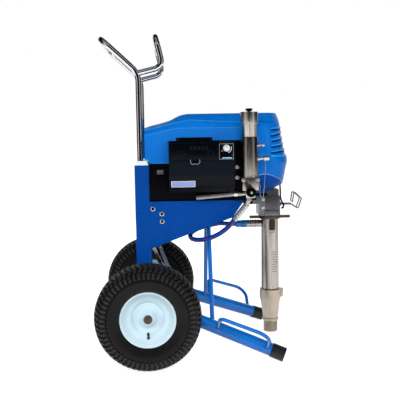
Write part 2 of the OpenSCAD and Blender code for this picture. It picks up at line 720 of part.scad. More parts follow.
cavity_half_w = crank_throw + 3;
module bearing_housing() color(STEEL) cart() difference() {
    union() {
        slab([pump_x - 41, -housing_half_w, housing_z], [pump_x + 29, housing_half_w, deck_z]);
        slab([pump_x - 25, -housing_half_w + 8, deck_z - 1],
             [pump_x + 26, housing_half_w - 8, housing_top]);
        slab([drive_front, -housing_half_w, housing_top - 48],
             [pump_x - 40, housing_half_w, housing_top - 4]);
        slab([pump_x + 28, -12, hook_pivot.z - 7], [hook_pivot.x + 5, 12, hook_pivot.z + 7]);
    }
    at_pump() translate([0, 0, housing_z - 1]) cylinder(h = cyl_top - housing_z + 1, r = cyl_r);
    at_pump() translate([0, 0, cyl_top - 1]) cylinder(h = 10, r = rod_r + 1);
    slab([rod_x - 3, -cavity_half_w, cyl_top + 3], [rod_x + rod_w + 3, cavity_half_w, big]);
    translate([hook_pivot.x, 0, hook_pivot.z]) bar_y(-big, big, wire_r + fit);
}
seat_z = intake_z + 70;
seat_r = ball_r - 3;
ball_lift = 5;
ball_z = seat_z + sqrt(ball_r * ball_r - seat_r * seat_r) + 0.4;
// Seat and cage of the ball, held in the intake's bore
module ball_cage() {
    rotate_extrude() polygon([
        [seat_r, seat_z - 4], [cyl_bore - 4, seat_z - 8], [cyl_bore - fit, seat_z - 8],
        [cyl_bore - fit, seat_z + 50], [ball_r + 0.6, seat_z + 46], [ball_r + 0.6, seat_z + 4],
        [seat_r, seat_z]]);
    translate([0, 0, ball_z + ball_r + ball_lift + 2.5]) bar_x(-ball_r - 1, ball_r + 1, 2);
}
module intake_housing() color(TAN) cart() at_pump() {
    low = intake_z;
    end_z = low + intake_end_h;
    rotate_extrude() polygon([
        [cyl_bore, low], [intake_end_r, low], [intake_end_r, end_z], [intake_end_r + 4, end_z + 1],
        [intake_end_r + 4, end_z + 8], [intake_end_r + 1, end_z + 9], [intake_r - 3, cyl_bottom - 42],
        [intake_r, cyl_bottom - 32], [intake_r, cyl_bottom], [cyl_r, cyl_bottom], [cyl_r, cyl_low],
        [cyl_bore, cyl_low]]);
    difference() {
        slab([intake_r - 6, -10, cyl_bottom - 30], [intake_r + 8, 10, cyl_bottom - 1]);
        cylinder(h = big, r = intake_r - 2);
    }
    ball_cage();
}
module intake_ball() color(CHROME) cart() at_pump() translate([0, 0, ball_z]) sphere(r = ball_r);

// ================= covers =================
// Cross-section of the motor cover: side, shoulder, crease and roof
function cover_section(drop, w) = let (h = shroud_half_w - w, t = shroud_top - drop - w)
    [[-h, shroud_bottom - (w > 0 ? 50 : 0)], [-h, shroud_top - 44 - 0.55 * drop],
     [-h + 20, t - 23 + 0.15 * drop],
     [-h + 54, t], [h - 54, t], [h - 20, t - 23 + 0.15 * drop], [h, shroud_top - 44 - 0.55 * drop],
     [h, shroud_bottom - (w > 0 ? 50 : 0)]];
module cover_slice(x, drop, w, low = 0) translate([x, 0, 0]) rotate([90, 0, 90]) linear_extrude(0.1)
    intersection() {
        polygon(cover_section(drop, w));
        translate([-big / 2, low]) square([big, big]);
    }
cover_rear = -2;
module cover_shape(w) hull() {
    cover_slice(cover_rear + w, 44, w, shroud_top - 74);
    cover_slice(cover_rear + 13 + w, 41, w);
    cover_slice(80, 20, w);
    cover_slice(147, 0, w);
    cover_slice(cover_joint_x - 0.1 + (w > 0 ? 5 : 0), 0, w);
}
module bracket_notch() slab([drive_x - 3, -big, 0],
    [drive_front - 4 + gap, -drive_half_w, drive_top - 5 + gap]);
module drive_notch() slab([0, -drive_half_w - gap, 0],
    [drive_front + gap, drive_half_w + gap, drive_top + gap]);
module shroud() color("#0a66c8") cart() difference() {
    cover_shape(0);
    cover_shape(cover_wall);
    bracket_notch();
}
// Plan of the front cover at one height
function nose_plan(half, nose, w) =
    let (h = half - w, n = nose - w, b = cover_joint_x + gap - (w > 0 ? 5 : 0))
    [[b, -h], [n - 58, -h + 4], [n - 20, -0.72 * h], [n, -0.3 * h], [n, 0.3 * h], [n - 20, 0.72 * h],
     [n - 58, h - 4], [b, h]];
module nose_slice(z, half, nose, w) translate([0, 0, z])
    linear_extrude(0.1) polygon(nose_plan(half, nose, w));
module nose_upper(w) hull() {
    nose_slice(shroud_top - 0.1 - w, shroud_half_w - 54, nose_x - 37, w);
    nose_slice(shroud_top - 23, shroud_half_w - 20, nose_x - 26, w);
    nose_slice(shroud_top - 44, shroud_half_w, nose_x - 24, w);
    nose_slice(shroud_bottom - 2, shroud_half_w, nose_x - 5, w);
}
module nose_lower(w) hull() {
    nose_slice(shroud_bottom + 8, shroud_half_w - 4, nose_x - 4, w);
    nose_slice(shroud_bottom - 2, shroud_half_w, nose_x, w);
    nose_slice(shroud_bottom - 64, shroud_half_w - 14, nose_x - 10, w);
    nose_slice(shroud_bottom - 80, shroud_half_w - 35, nose_x - 16, w);
    nose_slice(deck_z + 10 - (w > 0 ? 14 : 0), shroud_half_w - 75, nose_x - 76, w);
}
module front_cover() color("#0a66c8") cart() difference() {
    union() {
        nose_upper(0);
        nose_lower(0);
    }
    nose_upper(cover_wall);
    nose_lower(cover_wall);
    bracket_notch();
    drive_notch();
    slab([0, -housing_half_w - 3, 0], [nose_x - 19, housing_half_w + 3, housing_top + 12]);
}

// ================= control box =================
// Outline of the box seen from the end, and from the side
function box_end(w) = [[box_back + (w > 0 ? 1 : 0), box_top - w], [box_face + w, box_top - w],
    [box_face + w, box_bottom + 57], [box_face + 8 + w, box_bottom + 25],
    [box_face + 30 + w, box_bottom + 4 + w], [box_back + (w > 0 ? 1 : 0), box_bottom + w]];
function box_side(w) = [[box_rear + w, box_top + 1], [box_front - w, box_top + 1],
    [box_front - w, box_bottom - 1], [box_rear + w, box_bottom - 1]];
module box_shape(w) intersection() {
    rotate([90, 0, 90]) linear_extrude(big) polygon(box_end(w));
    rotate([90, 0, 0]) linear_extrude(big) polygon(box_side(w));
}
hinge_r = 2;
lug_w = 7;
module at_hinge() translate([0, door_hinge.y, door_hinge.z]) children();
module control_box() color(BLACK) cart() {
    difference() {
        box_shape(0);
        box_shape(box_wall);
        translate([knob_x, 0, knob_z]) bar_y(box_face - 1, box_face + box_wall + 1, 5);
    }
    for (x = [hinge_rear, hinge_front - lug_w]) difference() {
        union() {
            at_hinge() bar_x(x, x + lug_w, knuckle_r);
            slab([x, box_face, box_top - 1], [x + lug_w, box_face + 10, door_hinge.z]);
        }
        at_hinge() bar_x(x - 1, x + lug_w + 1, hinge_r);
    }
    at_hinge() bar_x(hinge_rear, hinge_front, hinge_r);
}
panel_t = 1.5;
panel_y = box_face - panel_t;
module control_panel() color(BLACK) cart() difference() {
    slab([box_rear + 12, panel_y, door_low - 2], [box_front - 2, box_face, box_top - 9]);
    translate([knob_x, 0, knob_z]) bar_y(-big, 0, 3 + fit);
}
module pressure_knob() color("#e9eaec") cart() translate([knob_x, 0, knob_z]) {
    bar_y(panel_y - 14, panel_y - gap, knob_r);
    bar_y(panel_y - 1, box_face + 12, 3);
}
board_y = box_face + 40;
board_len = 160;
board_rear = knob_x + 12 - board_len;
module circuit_board() color("#1f5a34") cart() {
    slab([board_rear, board_y, box_bottom + 30], [board_rear + board_len, board_y + 2, box_top - 15]);
    translate([knob_x, 0, knob_z]) bar_y(box_face + 12 + gap, board_y, 8);
    for (x = [board_rear + 8, knob_x + 5], z = [box_bottom + 62, box_top - 70])
        translate([x, 0, z]) bar_y(box_face + box_wall, board_y, 3);
    for (k = [0 : 3]) translate([board_rear + 28 + 24 * k, board_y, box_bottom + 80])
        slab([0, -12, 0], [14, 0, 26]);
}
door_y = panel_y - gap - door_t;
module display_door() color(BLACK) cart() {
    translate([0, door_y + door_t, 0]) rotate([90, 0, 0]) linear_extrude(door_t)
        polygon([[door_rear, box_top - 1], [door_rear + 7, door_low], [door_front, door_low],
                 [door_front, box_top - 1]]);
    difference() {
        union() {
            at_hinge() bar_x(hinge_rear + lug_w + 1, hinge_front - lug_w - 1, knuckle_r);
            slab([hinge_rear + lug_w + 1, door_y, box_top - 3],
                 [hinge_front - lug_w - 1, door_y + door_t, door_hinge.z + 3]);
            slab([hinge_rear + lug_w + 1, door_y + 1, door_hinge.z - 3],
                 [hinge_front - lug_w - 1, door_hinge.y, door_hinge.z + 3]);
        }
        at_hinge() bar_x(0, box_front, hinge_r + fit);
    }
}
module power_switch() color("#8d9095") cart() translate(switch_at) {
    rotate([90, 0, 90]) translate([0, 0, -10]) linear_extrude(20)
        polygon([[-1.5, -7], [2, -7], [2, 7], [-1.5, 7], [-4, 7], [-2.6, 0], [-4, -7]]);
    bar_x(-13, 13, 1.2);
}

// ================= filter and fluid lines =================
module manifold_bracket() color(BLACK) cart() difference() {
    union() {
        difference() {
            slab([drive_x, bracket_y, deck_z], [drive_front - 4, -drive_half_w, drive_top - 5]);
            slab([drive_x + 5, bracket_y + 8, deck_z + 5], [drive_front - 9, 0, drive_top - 10]);
        }
        slab([drive_front - 4, bracket_y + 2, manifold_z - 14],
             [drive_front + 32, bracket_y + 12, manifold_z - 6]);
    }
    for (b = bracket_screws) translate([b[0], bracket_y, b[1]]) bar_y(-1, 7, bolt_r);
}
block_z = manifold_z - 16;
module at_filter() translate([filter_x, -filter_y, 0]) children();
module filter_manifold() color(NICKEL) cart() difference() {
    union() {
        slab([filter_x - manifold_half, manifold_out, manifold_z + 8],
             [filter_x + manifold_half, bracket_y, bowl_bottom]);
        slab([filter_x - 14, manifold_out + 4, block_z], [filter_x + 14, bracket_y - 4, manifold_z + 9]);
        translate([prime_x, 0, prime_z]) {
            bar_y(valve_face, manifold_out + 20, 12);
            bar_y(valve_face - 24, valve_face, 4);
        }
    }
    at_filter() translate([0, 0, bowl_bottom - 20]) cylinder(h = 30, r = 10);
}
module filter_bowl() color(NICKEL) cart() difference() {
    at_filter() translate([0, 0, bowl_bottom]) cylinder(h = bowl_top - bowl_bottom, r = bowl_r);
    at_filter() translate([0, 0, bowl_bottom - 1]) cylinder(h = big, r = bowl_r - bowl_wall);
}
cap_low = bowl_top + neck_h;
cap_high = cap_low + cap_h;
module filter_cap() color(NICKEL) cart() at_filter() difference() {
    union() {
        translate([0, 0, bowl_top - 15]) cylinder(h = 16, r = bowl_r - bowl_wall);
        translate([0, 0, bowl_top]) cylinder(h = neck_h, r = neck_r);
        translate([0, 0, cap_low]) cylinder(h = cap_h, r = cap_r);
    }
    translate([0, 0, bowl_top - 16]) cylinder(h = neck_h + 20, r = 14);
    translate([0, 0, cap_low]) cylinder(h = big, r = 5);
}
module filter_plug() color(BLACK) cart() at_filter() {
    translate([0, 0, cap_high - 14]) cylinder(h = 15, r = 5);
    translate([0, 0, cap_high]) cylinder(h = 4, r = 6);
    translate([0, 0, cap_high + 3]) cylinder(h = 8, r = 11);
}
module filter_element() color("#d8d4c8") cart() at_filter() translate([0, 0, bowl_bottom]) difference() {
    cylinder(h = bowl_top - 15 - bowl_bottom, r = 17);
    translate([0, 0, -1]) cylinder(h = big, r = 13);
}
bowl_side = filter_x + bowl_r;
port_z = bowl_bottom + 59;
plug_z = bowl_bottom + 101;
sleeve_top = [filter_x - 11, -filter_y + 10, manifold_z - 42];
sleeve_end = [filter_x - 51, -filter_y + 6, manifold_z - 88];
nut_x = pump_x - 119;
drain_front = filter_x - 42;
module fittings() color(STEEL) cart() difference() {
    union() {
        translate([0, -filter_y, port_z]) bar_x(bowl_side - 6, bowl_side + 30, 5);
        translate([0, -filter_y, plug_z]) bar_x(bowl_side - 6, bowl_side + 18, 4);
        translate([bowl_side + 19, -filter_y, plug_z]) sphere(r = 5);
        bar([filter_x - 3, -filter_y + 4, block_z], [filter_x - 3, -filter_y + 4, block_z - 12], 10);
        bar([filter_x - 3, -filter_y + 4, block_z - 8], sleeve_top, 7);
        bar(sleeve_top, sleeve_end, 9.5);
        translate([0, 0, outlet_z]) {
            bar_x(nut_x + 37, pump_x, 12.5);
            for (k = [0 : 4]) bar_x(nut_x + 41 + 9 * k, nut_x + 46 + 9 * k, 14.5);
            bar_x(nut_x, nut_x + 38, 13);
        }
        translate([0, -filter_y + 13, manifold_z - 6]) bar_x(drain_front, filter_x - 14, 7);
    }
    at_pump() cylinder(h = big, r = cyl_r);
    at_filter() translate([0, 0, bowl_bottom]) cylinder(h = big, r = bowl_r);
}
module outlet_cap() color(STEEL) cart() translate([0, -filter_y, port_z]) difference() {
    bar_x(bowl_side + 18, bowl_side + 36, 8.5);
    bar_x(bowl_side, bowl_side + 30, 5);
}
drain_rear = [159, -188, 519];
module drain_tube() color(STEEL) cart() difference() {
    bar(drain_rear, [drain_front + 1, -filter_y + 13, manifold_z - 6], 6.5);
    bar(drain_rear - [1, 0, 0], drain_rear + [40, 0, 0], 4.5);
    slab([drain_front, -big, 0], [filter_x, big, big]);
}
module prime_handle() color(BLACK) cart() translate([prime_x, 0, prime_z]) difference() {
    bar_y(valve_face - 20, valve_face - gap, 15);
    bar_y(-big, 0, 4 + fit);
}
hose_r = 7.8;
hose_route = [[277, -197, 447], [259, -198.8, 426.3], [238, -200, 410], [218, -199, 399], [196, -196, 390],
    [174, -186, 385], [156, -169, 383], [144, -147, 384], [140, -122, 388], [144, -97, 393], [156, -73, 399],
    [174, -55, 405], [196, -45, 410], [220, -35, 413.5], [242, -22.5, 415.5], [256, -13, 414], [270, -5.6, 412],
    [283, -1.4, 410.6], [295, 0, 410], [302, 0, 410]];
module pump_hose() color(HOSE) cart() swept_tube(hose_route, hose_r, 10);
chain_route = [[357.1, -199, 580], [359, -199, 568], [361, -199, 552], [361, -199, 536], [363, -199, 522],
    [367, -200, 517], [371, -201, 522], [373, -202, 540], [375, -203, 565], [377, -203, 595], [378, -203, 633]];
module cap_chain() color(CHROME) cart() swept_tube(chain_route, 1.1, 8);
echo(hose_length = route_length(hose_route), chain_length = route_length(chain_route));

// ================= handle =================
handle_tip = [post_x - push_reach, upright_y, handle_bend_z + push_rise];
push_route = [[post_x, upright_y, post_bottom], [post_x, upright_y, handle_bend_z], handle_tip,
    [handle_tip.x, -upright_y, handle_tip.z], [post_x, -upright_y, handle_bend_z],
    [post_x, -upright_y, post_bottom]];
push_bends = [0, 60, 42, 42, 60, 0];
button_z = cap_z + 7;
button_r = 3.5;
module push_handle() color(CHROME) cart() difference() {
    bent_bar(push_route, push_bends, handle_r, handle_r - handle_wall);
    for (s = [-1, 1]) translate([post_x, s * upright_y, button_z])
        bar_y(s > 0 ? 0 : -big, s > 0 ? big : 0, button_r + fit);
}
hook_tip = [post_x + 56, upright_y, handle_bend_z + hook_rise];
hook_route = [[post_x, upright_y, handle_bend_z], [post_x + hook_reach, upright_y, handle_bend_z + 19],
    hook_tip, [hook_tip.x, -upright_y, hook_tip.z],
    [post_x + hook_reach, -upright_y, handle_bend_z + 19], [post_x, -upright_y, handle_bend_z]];
module hose_hook() color(CHROME) cart()
    bent_bar(hook_route, [0, 28, 36, 36, 28, 0], handle_r, handle_r - handle_wall)
        bent_bar(push_route, push_bends, handle_r);
module snap_button(s) color(CHROME) cart() translate([post_x, 0, button_z]) mirror([0, s > 0 ? 0 : 1, 0])
    bar_y(upright_y + 2, upright_y + handle_r + 5, button_r);
module snap_button_left() snap_button(1);
module snap_button_right() snap_button(-1);

// ================= pail hook =================
hook_half_w = 18;
hook_side = [[0, 0], [42, -1], [63, -17], [pail_hook_reach, 18], [49, 43], [44, 8]];
function hook_arm(s) = [for (q = hook_side) [hook_pivot.x + q[0], s * hook_half_w, hook_pivot.z + q[1]]];
module pail_hook() color(CHROME) cart() {
    far = hook_arm(1);
    near = hook_arm(-1);
    path = concat([for (k = [5 : -1 : 0]) near[k]], far);
    bent_bar(path, [0, 4, 4, 4, 8, 6, 6, 8, 4, 4, 4, 0], wire_r);
    translate([far[5].x, 0, far[5].z]) bar_y(-hook_half_w - 3, hook_half_w + 3, wire_r + 0.3);
}

uprights();
frame_crossbars();
upright_caps();
axle();
axle_bushes();
legs();
foot_caps();
struts();
leg_braces();
leg_rails();
deck_plate();
gussets();
hex_bolts();
motor_base();
motor_housing();
stator();
end_bell();
drive_housing();
shaft_bearings();
shroud();
front_cover();
control_box();
circuit_board();
control_panel();
power_inlet();
manifold_bracket();
filter_manifold();
filter_bowl();
filter_cap();
filter_plug();
filter_element();
fittings();
outlet_cap();
cap_chain();
drain_tube();
pump_hose();
bearing_housing();
jam_nut();
pump_cylinder();
rod_packings();
intake_housing();
tyre_left();
tyre_right();
rim_left();
rim_right();
push_handle();
hose_hook();
snap_button_left();
snap_button_right();
pressure_knob();
prime_handle();
display_door();
pail_hook();
power_switch();
motor_rotor();
idler_gear();
crankshaft();
connecting_rod();
piston_rod();
intake_ball();
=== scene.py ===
"""Looks of the airless paint sprayer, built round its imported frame. Lengths in the tables are
millimetres, counted along X from the wheels' axle; place() turns them into the frame's metres."""
import json
from math import copysign, cos, pi, radians, sin, sqrt, tan

import bmesh
import bpy
from mathutils import Matrix, Vector

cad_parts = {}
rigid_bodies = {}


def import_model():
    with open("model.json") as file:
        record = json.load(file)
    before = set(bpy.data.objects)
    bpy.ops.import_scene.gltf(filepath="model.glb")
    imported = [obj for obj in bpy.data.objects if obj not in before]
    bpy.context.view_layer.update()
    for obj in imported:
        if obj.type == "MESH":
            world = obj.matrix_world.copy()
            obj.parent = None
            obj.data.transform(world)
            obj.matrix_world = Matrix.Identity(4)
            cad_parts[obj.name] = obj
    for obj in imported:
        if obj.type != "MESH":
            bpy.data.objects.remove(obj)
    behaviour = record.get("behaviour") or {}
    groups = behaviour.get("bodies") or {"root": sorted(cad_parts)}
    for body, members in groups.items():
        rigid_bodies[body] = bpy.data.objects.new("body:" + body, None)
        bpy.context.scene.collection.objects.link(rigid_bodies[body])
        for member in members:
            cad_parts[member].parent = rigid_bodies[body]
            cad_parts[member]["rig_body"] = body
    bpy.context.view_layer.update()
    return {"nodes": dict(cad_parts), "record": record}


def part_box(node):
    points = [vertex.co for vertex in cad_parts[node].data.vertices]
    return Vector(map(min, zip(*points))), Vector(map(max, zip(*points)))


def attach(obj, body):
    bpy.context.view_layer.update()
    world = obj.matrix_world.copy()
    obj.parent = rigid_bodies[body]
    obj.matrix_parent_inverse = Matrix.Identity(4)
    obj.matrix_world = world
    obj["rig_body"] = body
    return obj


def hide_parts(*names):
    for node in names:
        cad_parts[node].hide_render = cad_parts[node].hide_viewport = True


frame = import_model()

nodes = frame["nodes"]
slot_of = {s["node"]: s["material_slot"] for s in frame["record"]["subparts"]}
axle_low, axle_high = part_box("axle")
AXLE_X = (axle_low.x + axle_high.x) / 2
MM = 0.001
scene = bpy.context.scene
scene.view_settings.view_transform = "Standard"


def place(x, y, z):
    return Vector((AXLE_X + x * MM, y * MM, z * MM))


def add_object(name, data):
    o = bpy.data.objects.new(name, data)
    scene.collection.objects.link(o)
    return o


def srgb(r, g, b):
    return tuple((c / 255 / 12.92) if c <= 10 else ((c / 255 + 0.055) / 1.055) ** 2.4 for c in (r, g, b))


# ---- camera
CAMERA_AT = (56.7, -2422.9, 719.6)
CAMERA_TURN = (2.916, 5.28, -0.975)  # yaw, pitch down and roll, in degrees
CAMERA_LENS, CAMERA_SENSOR = 63.66, 36


def add_camera():
    """The camera fitted to the wheels, feet and uprights of the photograph."""
    yaw, pitch, roll = (radians(a) for a in CAMERA_TURN)
    ahead = Vector((sin(yaw) * cos(pitch), cos(yaw) * cos(pitch), -sin(pitch)))
    level = Vector((cos(yaw), -sin(yaw), 0))
    upright = level.cross(ahead)
    right = cos(roll) * level + sin(roll) * upright
    up = cos(roll) * upright - sin(roll) * level
    data = bpy.data.cameras.new("camera")
    data.lens, data.sensor_width = CAMERA_LENS, CAMERA_SENSOR
    camera = add_object("camera", data)
    turn = Matrix((right, up, -ahead)).transposed().to_4x4()
    camera.matrix_world = Matrix.Translation(place(*CAMERA_AT)) @ turn
    scene.camera = camera


add_camera()


# ---- materials
def socket(tree, at, value):
    """Gives a shader input a number, a colour or another node's output."""
    if isinstance(value, bpy.types.NodeSocket):
        tree.links.new(value, at)
        return
    at.default_value = (*value, 1) if at.type == "RGBA" else value


def node(tree, kind, inputs=(), **settings):
    n = tree.nodes.new("ShaderNode" + kind)
    for key, value in settings.items():
        setattr(n, key, value)
    for key, value in dict(inputs).items():
        socket(tree, n.inputs[key], value)
    return n


def noise(tree, where, scale, detail, rough):
    inputs = {"Vector": where, "Scale": scale, "Detail": detail, "Roughness": rough}
    return node(tree, "TexNoise", inputs).outputs["Fac"]


def ramp(tree, value, stops):
    n = node(tree, "ValToRGB", {"Fac": value})
    while len(n.color_ramp.elements) < len(stops):
        n.color_ramp.elements.new(0.5)
    for e, (at, c) in zip(n.color_ramp.elements, stops):
        e.position = at
        e.color = (*c, 1) if hasattr(c, "__len__") else (c, c, c, 1)
    return n.outputs["Color"]


def stretched(tree, scale):
    where = node(tree, "TexCoord").outputs["Object"]
    return node(tree, "Mapping", {"Vector": where, "Scale": scale}).outputs["Vector"]


def shade(c, k):
    return tuple(min(1, max(0, x * k)) for x in c)


def finish(name, colour, rough, metal, mottle, grain, bump, specular=0.5, coat=0.0, mottle_size=30,
           rough_play=0.08, stretch=(1, 1, 1), dirt=0.0, coat_rough=0.05):
    """A surface whose colour, gloss and fine relief all vary a little, at a real scale."""
    m = bpy.data.materials.new(name)
    m.use_nodes = True
    t = m.node_tree
    out = t.nodes["Principled BSDF"]
    where = stretched(t, stretch)
    broad = noise(t, where, mottle_size, 4, 0.6)
    fine = noise(t, where, grain, 2, 0.5)
    tint = ramp(t, broad, [(0.3, shade(colour, 1 - mottle)), (0.7, shade(colour, 1 + mottle))])
    if dirt:
        spots = ramp(t, noise(t, where, 9, 5, 0.7), [(0.5, 0.0), (0.8, dirt)])
        mixed = node(t, "Mix", {"Factor": spots}, data_type="RGBA")
        socket(t, mixed.inputs["A"], tint)
        socket(t, mixed.inputs["B"], (0.35, 0.33, 0.3))
        tint = mixed.outputs["Result"]
    socket(t, out.inputs["Base Color"], tint)
    gloss = ramp(t, fine, [(0.3, max(0.02, rough - rough_play)), (0.7, rough + rough_play)])
    socket(t, out.inputs["Roughness"], gloss)
    out.inputs["Metallic"].default_value = metal
    out.inputs["Coat Weight"].default_value = coat
    out.inputs["Coat Roughness"].default_value = coat_rough
    out.inputs["Specular IOR Level"].default_value = specular
    relief = node(t, "Bump", {"Strength": bump, "Distance": 0.0006, "Height": fine})
    socket(t, out.inputs["Normal"], relief.outputs["Normal"])
    return m


# Finishes: name, colour, roughness, metal, mottle, grain, bump and, where it isn't 0.5, specular
FINISHES = {
    "shroud": ("cover_blue", srgb(2, 110, 202), 0.4, 0, 0.05, 900, 0.06, 0.08),
    "frame": ("frame_blue", srgb(1, 66, 148), 0.36, 0, 0.06, 700, 0.12, 0.08),
    "leg": ("leg_blue", srgb(1, 112, 206), 0.25, 0, 0.05, 1500, 0.02, 0.2),
    "rim": ("rim_white", srgb(206, 228, 238), 0.3, 0, 0.03, 600, 0.05),
    "tyre": ("tyre", (0.006, 0.006, 0.0065), 0.4, 0, 0.2, 500, 0.15, 0.14),
    "lug": ("tread_block", (0.018, 0.0175, 0.0175), 0.5, 0, 0.3, 400, 0.2, 0.25),
    "chrome": ("chrome", (0.55, 0.56, 0.58), 0.1, 1, 0.02, 300, 0.0),
    "zinc": ("zinc", (0.56, 0.58, 0.6), 0.3, 1, 0.15, 400, 0.1),
    "steel": ("steel", (0.6, 0.6, 0.62), 0.25, 1, 0.08, 400, 0.08),
    "nickel": ("nickel", (0.42, 0.39, 0.355), 0.32, 1, 0.06, 250, 0.06),
    "bowl": ("bowl_nickel", (0.23, 0.21, 0.19), 0.3, 1, 0.06, 250, 0.06),
    "wire": ("bright_wire", (0.22, 0.225, 0.235), 0.25, 1, 0.05, 400, 0.02),
    "window": ("oxide_brown", (0.035, 0.024, 0.02), 0.45, 0.3, 0.1, 400, 0.05, 0.2),
    # painted shade: a darker blue for the front cover's underside, below the bead
    "deep": ("bowl_blue", srgb(3, 70, 156), 0.4, 0, 0.06, 900, 0.06, 0.08),
    # painted highlight: a pale blue for the louvres' lips, the flared band's edge and the cover's crease and
    # shoulder lines
    "lip": ("lit_blue", srgb(44, 156, 236), 0.35, 0, 0.05, 900, 0.04, 0.1),
    "intake": ("intake_nickel", (0.5, 0.43, 0.345), 0.42, 0.85, 0.08, 500, 0.25),
    "bronze": ("dark_bronze", (0.09, 0.07, 0.055), 0.4, 0.9, 0.2, 400, 0.15),
    "cast": ("cast_aluminium", (0.13, 0.135, 0.14), 0.42, 0.8, 0.1, 500, 0.35),
    "matte": ("matte_black", srgb(12, 17, 25), 0.5, 0, 0.12, 1400, 0.3, 0.06),
    "gloss": ("gloss_black", srgb(3, 5, 9), 0.22, 0, 0.1, 400, 0.02, 0.06),
    "base": ("tub_black", srgb(2, 2, 6), 0.42, 0, 0.12, 1200, 0.25, 0.05),
    "rubber": ("foot_rubber", srgb(30, 30, 34), 0.34, 0, 0.1, 400, 0.1, 0.3),
    "cap": ("pale_plastic", srgb(222, 236, 240), 0.4, 0, 0.04, 400, 0.05),
    "hose": ("hose", srgb(18, 44, 128), 0.3, 0, 0.08, 500, 0.05, 0.3),
    "sleeve": ("crimp", (0.5, 0.52, 0.54), 0.32, 0.9, 0.08, 400, 0.1),
    "nut": ("nut_blue", srgb(14, 104, 178), 0.35, 0.3, 0.12, 400, 0.1),
    "white": ("knob_white", srgb(214, 216, 222), 0.25, 0, 0.05, 400, 0.03),
    "grey": ("switch_grey", srgb(72, 76, 74), 0.4, 0, 0.1, 400, 0.05),
    "plate": ("bare_plate", srgb(128, 142, 190), 0.3, 0.6, 0.06, 400, 0.05),
    "board": ("board", (0.02, 0.12, 0.05), 0.4, 0, 0.1, 400, 0.05),
    "copper": ("windings", (0.35, 0.18, 0.09), 0.35, 0.8, 0.3, 400, 0.3),
    "mesh": ("filter_mesh", (0.55, 0.53, 0.48), 0.35, 0.9, 0.12, 1500, 0.8),
    "pack": ("packing", (0.7, 0.64, 0.5), 0.5, 0, 0.12, 400, 0.05),
    "brass": ("bush_bronze", (0.4, 0.26, 0.12), 0.35, 0.9, 0.12, 400, 0.1),
    "orange": ("mark_orange", srgb(196, 96, 30), 0.4, 0, 0.05, 400, 0.05),
    "line": ("pale_line", srgb(150, 158, 168), 0.45, 0, 0.05, 400, 0.02),
    "dark": ("dark_gap", (0.006, 0.006, 0.007), 0.6, 0, 0.05, 400, 0.05),
    "sky": ("sky_bar", srgb(140, 186, 226), 0.4, 0, 0.05, 400, 0.02),
    "gloss_low": ("tub_gloss", srgb(9, 12, 17), 0.3, 0, 0.1, 400, 0.04, 0.08),
    "drain": ("drain_grey", (0.3, 0.3, 0.31), 0.32, 0.8, 0.1, 400, 0.06),
    "darkcast": ("dark_cast", (0.09, 0.09, 0.1), 0.42, 0.7, 0.15, 300, 0.3),
    # painted shade: a dark blue for the strips under the louvre blades and the line along the nose's crease
    "slot": ("louvre_slot", srgb(1, 50, 118), 0.5, 0, 0.05, 400, 0.02, 0.05),
    "trim": ("pale_trim", srgb(120, 160, 190), 0.35, 0, 0.05, 400, 0.05),
}
MORE = {  # what else differs
    "shroud": dict(coat=0.12, coat_rough=0.2), "leg": dict(coat=0.5), "rim": dict(coat=0.3, dirt=0.06),
    "tyre": dict(mottle_size=18), "lug": dict(mottle_size=60, dirt=0.05), "chrome": dict(rough_play=0.01),
    "zinc": dict(mottle_size=120), "nickel": dict(mottle_size=60, stretch=(1, 1, 0.04)),
    "bowl": dict(mottle_size=60, stretch=(1, 1, 0.04)), "hose": dict(coat=0.2), "white": dict(coat=0.5),
    "plate": dict(stretch=(1, 1, 12)), "copper": dict(mottle_size=200), "trim": dict(coat=0.3),
}
MAT = {key: finish(*levels, **MORE.get(key, {})) for key, levels in FINISHES.items()}

# Which finish each CAD node wears
WEARERS = {
    "frame": "uprights frame_crossbars deck_plate gussets", "cap": "upright_caps",
    "zinc": "axle leg_braces hex_bolts fittings outlet_cap", "brass": "axle_bushes",
    "leg": "legs struts leg_rails", "rubber": "foot_caps",
    "base": "motor_base motor_housing drive_housing power_inlet manifold_bracket prime_handle",
    "copper": "stator motor_rotor", "cast": "end_bell bearing_housing",
    "steel": "shaft_bearings idler_gear crankshaft connecting_rod", "shroud": "shroud front_cover",
    "matte": "control_box", "board": "circuit_board", "gloss": "control_panel filter_plug display_door",
    "nickel": "filter_manifold filter_cap pump_cylinder", "bowl": "filter_bowl", "mesh": "filter_element",
    "chrome": "cap_chain push_handle hose_hook snap_button_left snap_button_right piston_rod intake_ball",
    "drain": "drain_tube", "hose": "pump_hose", "bronze": "jam_nut", "pack": "rod_packings",
    "intake": "intake_housing", "tyre": "tyre_left tyre_right", "rim": "rim_left rim_right",
    "white": "pressure_knob", "wire": "pail_hook", "grey": "power_switch",
}
LOOK = {name: look for look, names in WEARERS.items() for name in names.split()}

# Each CAD node wears the finish listed for it
for name, o in nodes.items():
    o.data.materials.clear()
    o.data.materials.append(MAT[LOOK[name]])


# ---- building pieces; wear is the finish, then the body where it isn't the usual one
HARD_EDGE = 32  # an edge that turns by more degrees than this is rounded


def add_piece(name, mesh, look, body="cart", slot=None, stands_for=(), angle=35):
    mesh.materials.clear()
    mesh.materials.append(MAT[look])
    mesh.shade_smooth()
    mesh.set_sharp_from_angle(angle=radians(angle))
    o = add_object(name, mesh)
    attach(o, body)
    if stands_for:
        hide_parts(*stands_for)
    return o


def from_mm(name, points, faces, *wear, **more):
    mesh = bpy.data.meshes.new(name)
    mesh.from_pydata([place(*p) for p in points], [], faces)
    bm = bmesh.new()
    bm.from_mesh(mesh)
    bmesh.ops.remove_doubles(bm, verts=bm.verts, dist=1e-6)
    bmesh.ops.recalc_face_normals(bm, faces=bm.faces)
    bm.to_mesh(mesh)
    bm.free()
    return add_piece(name, mesh, *wear, **more)


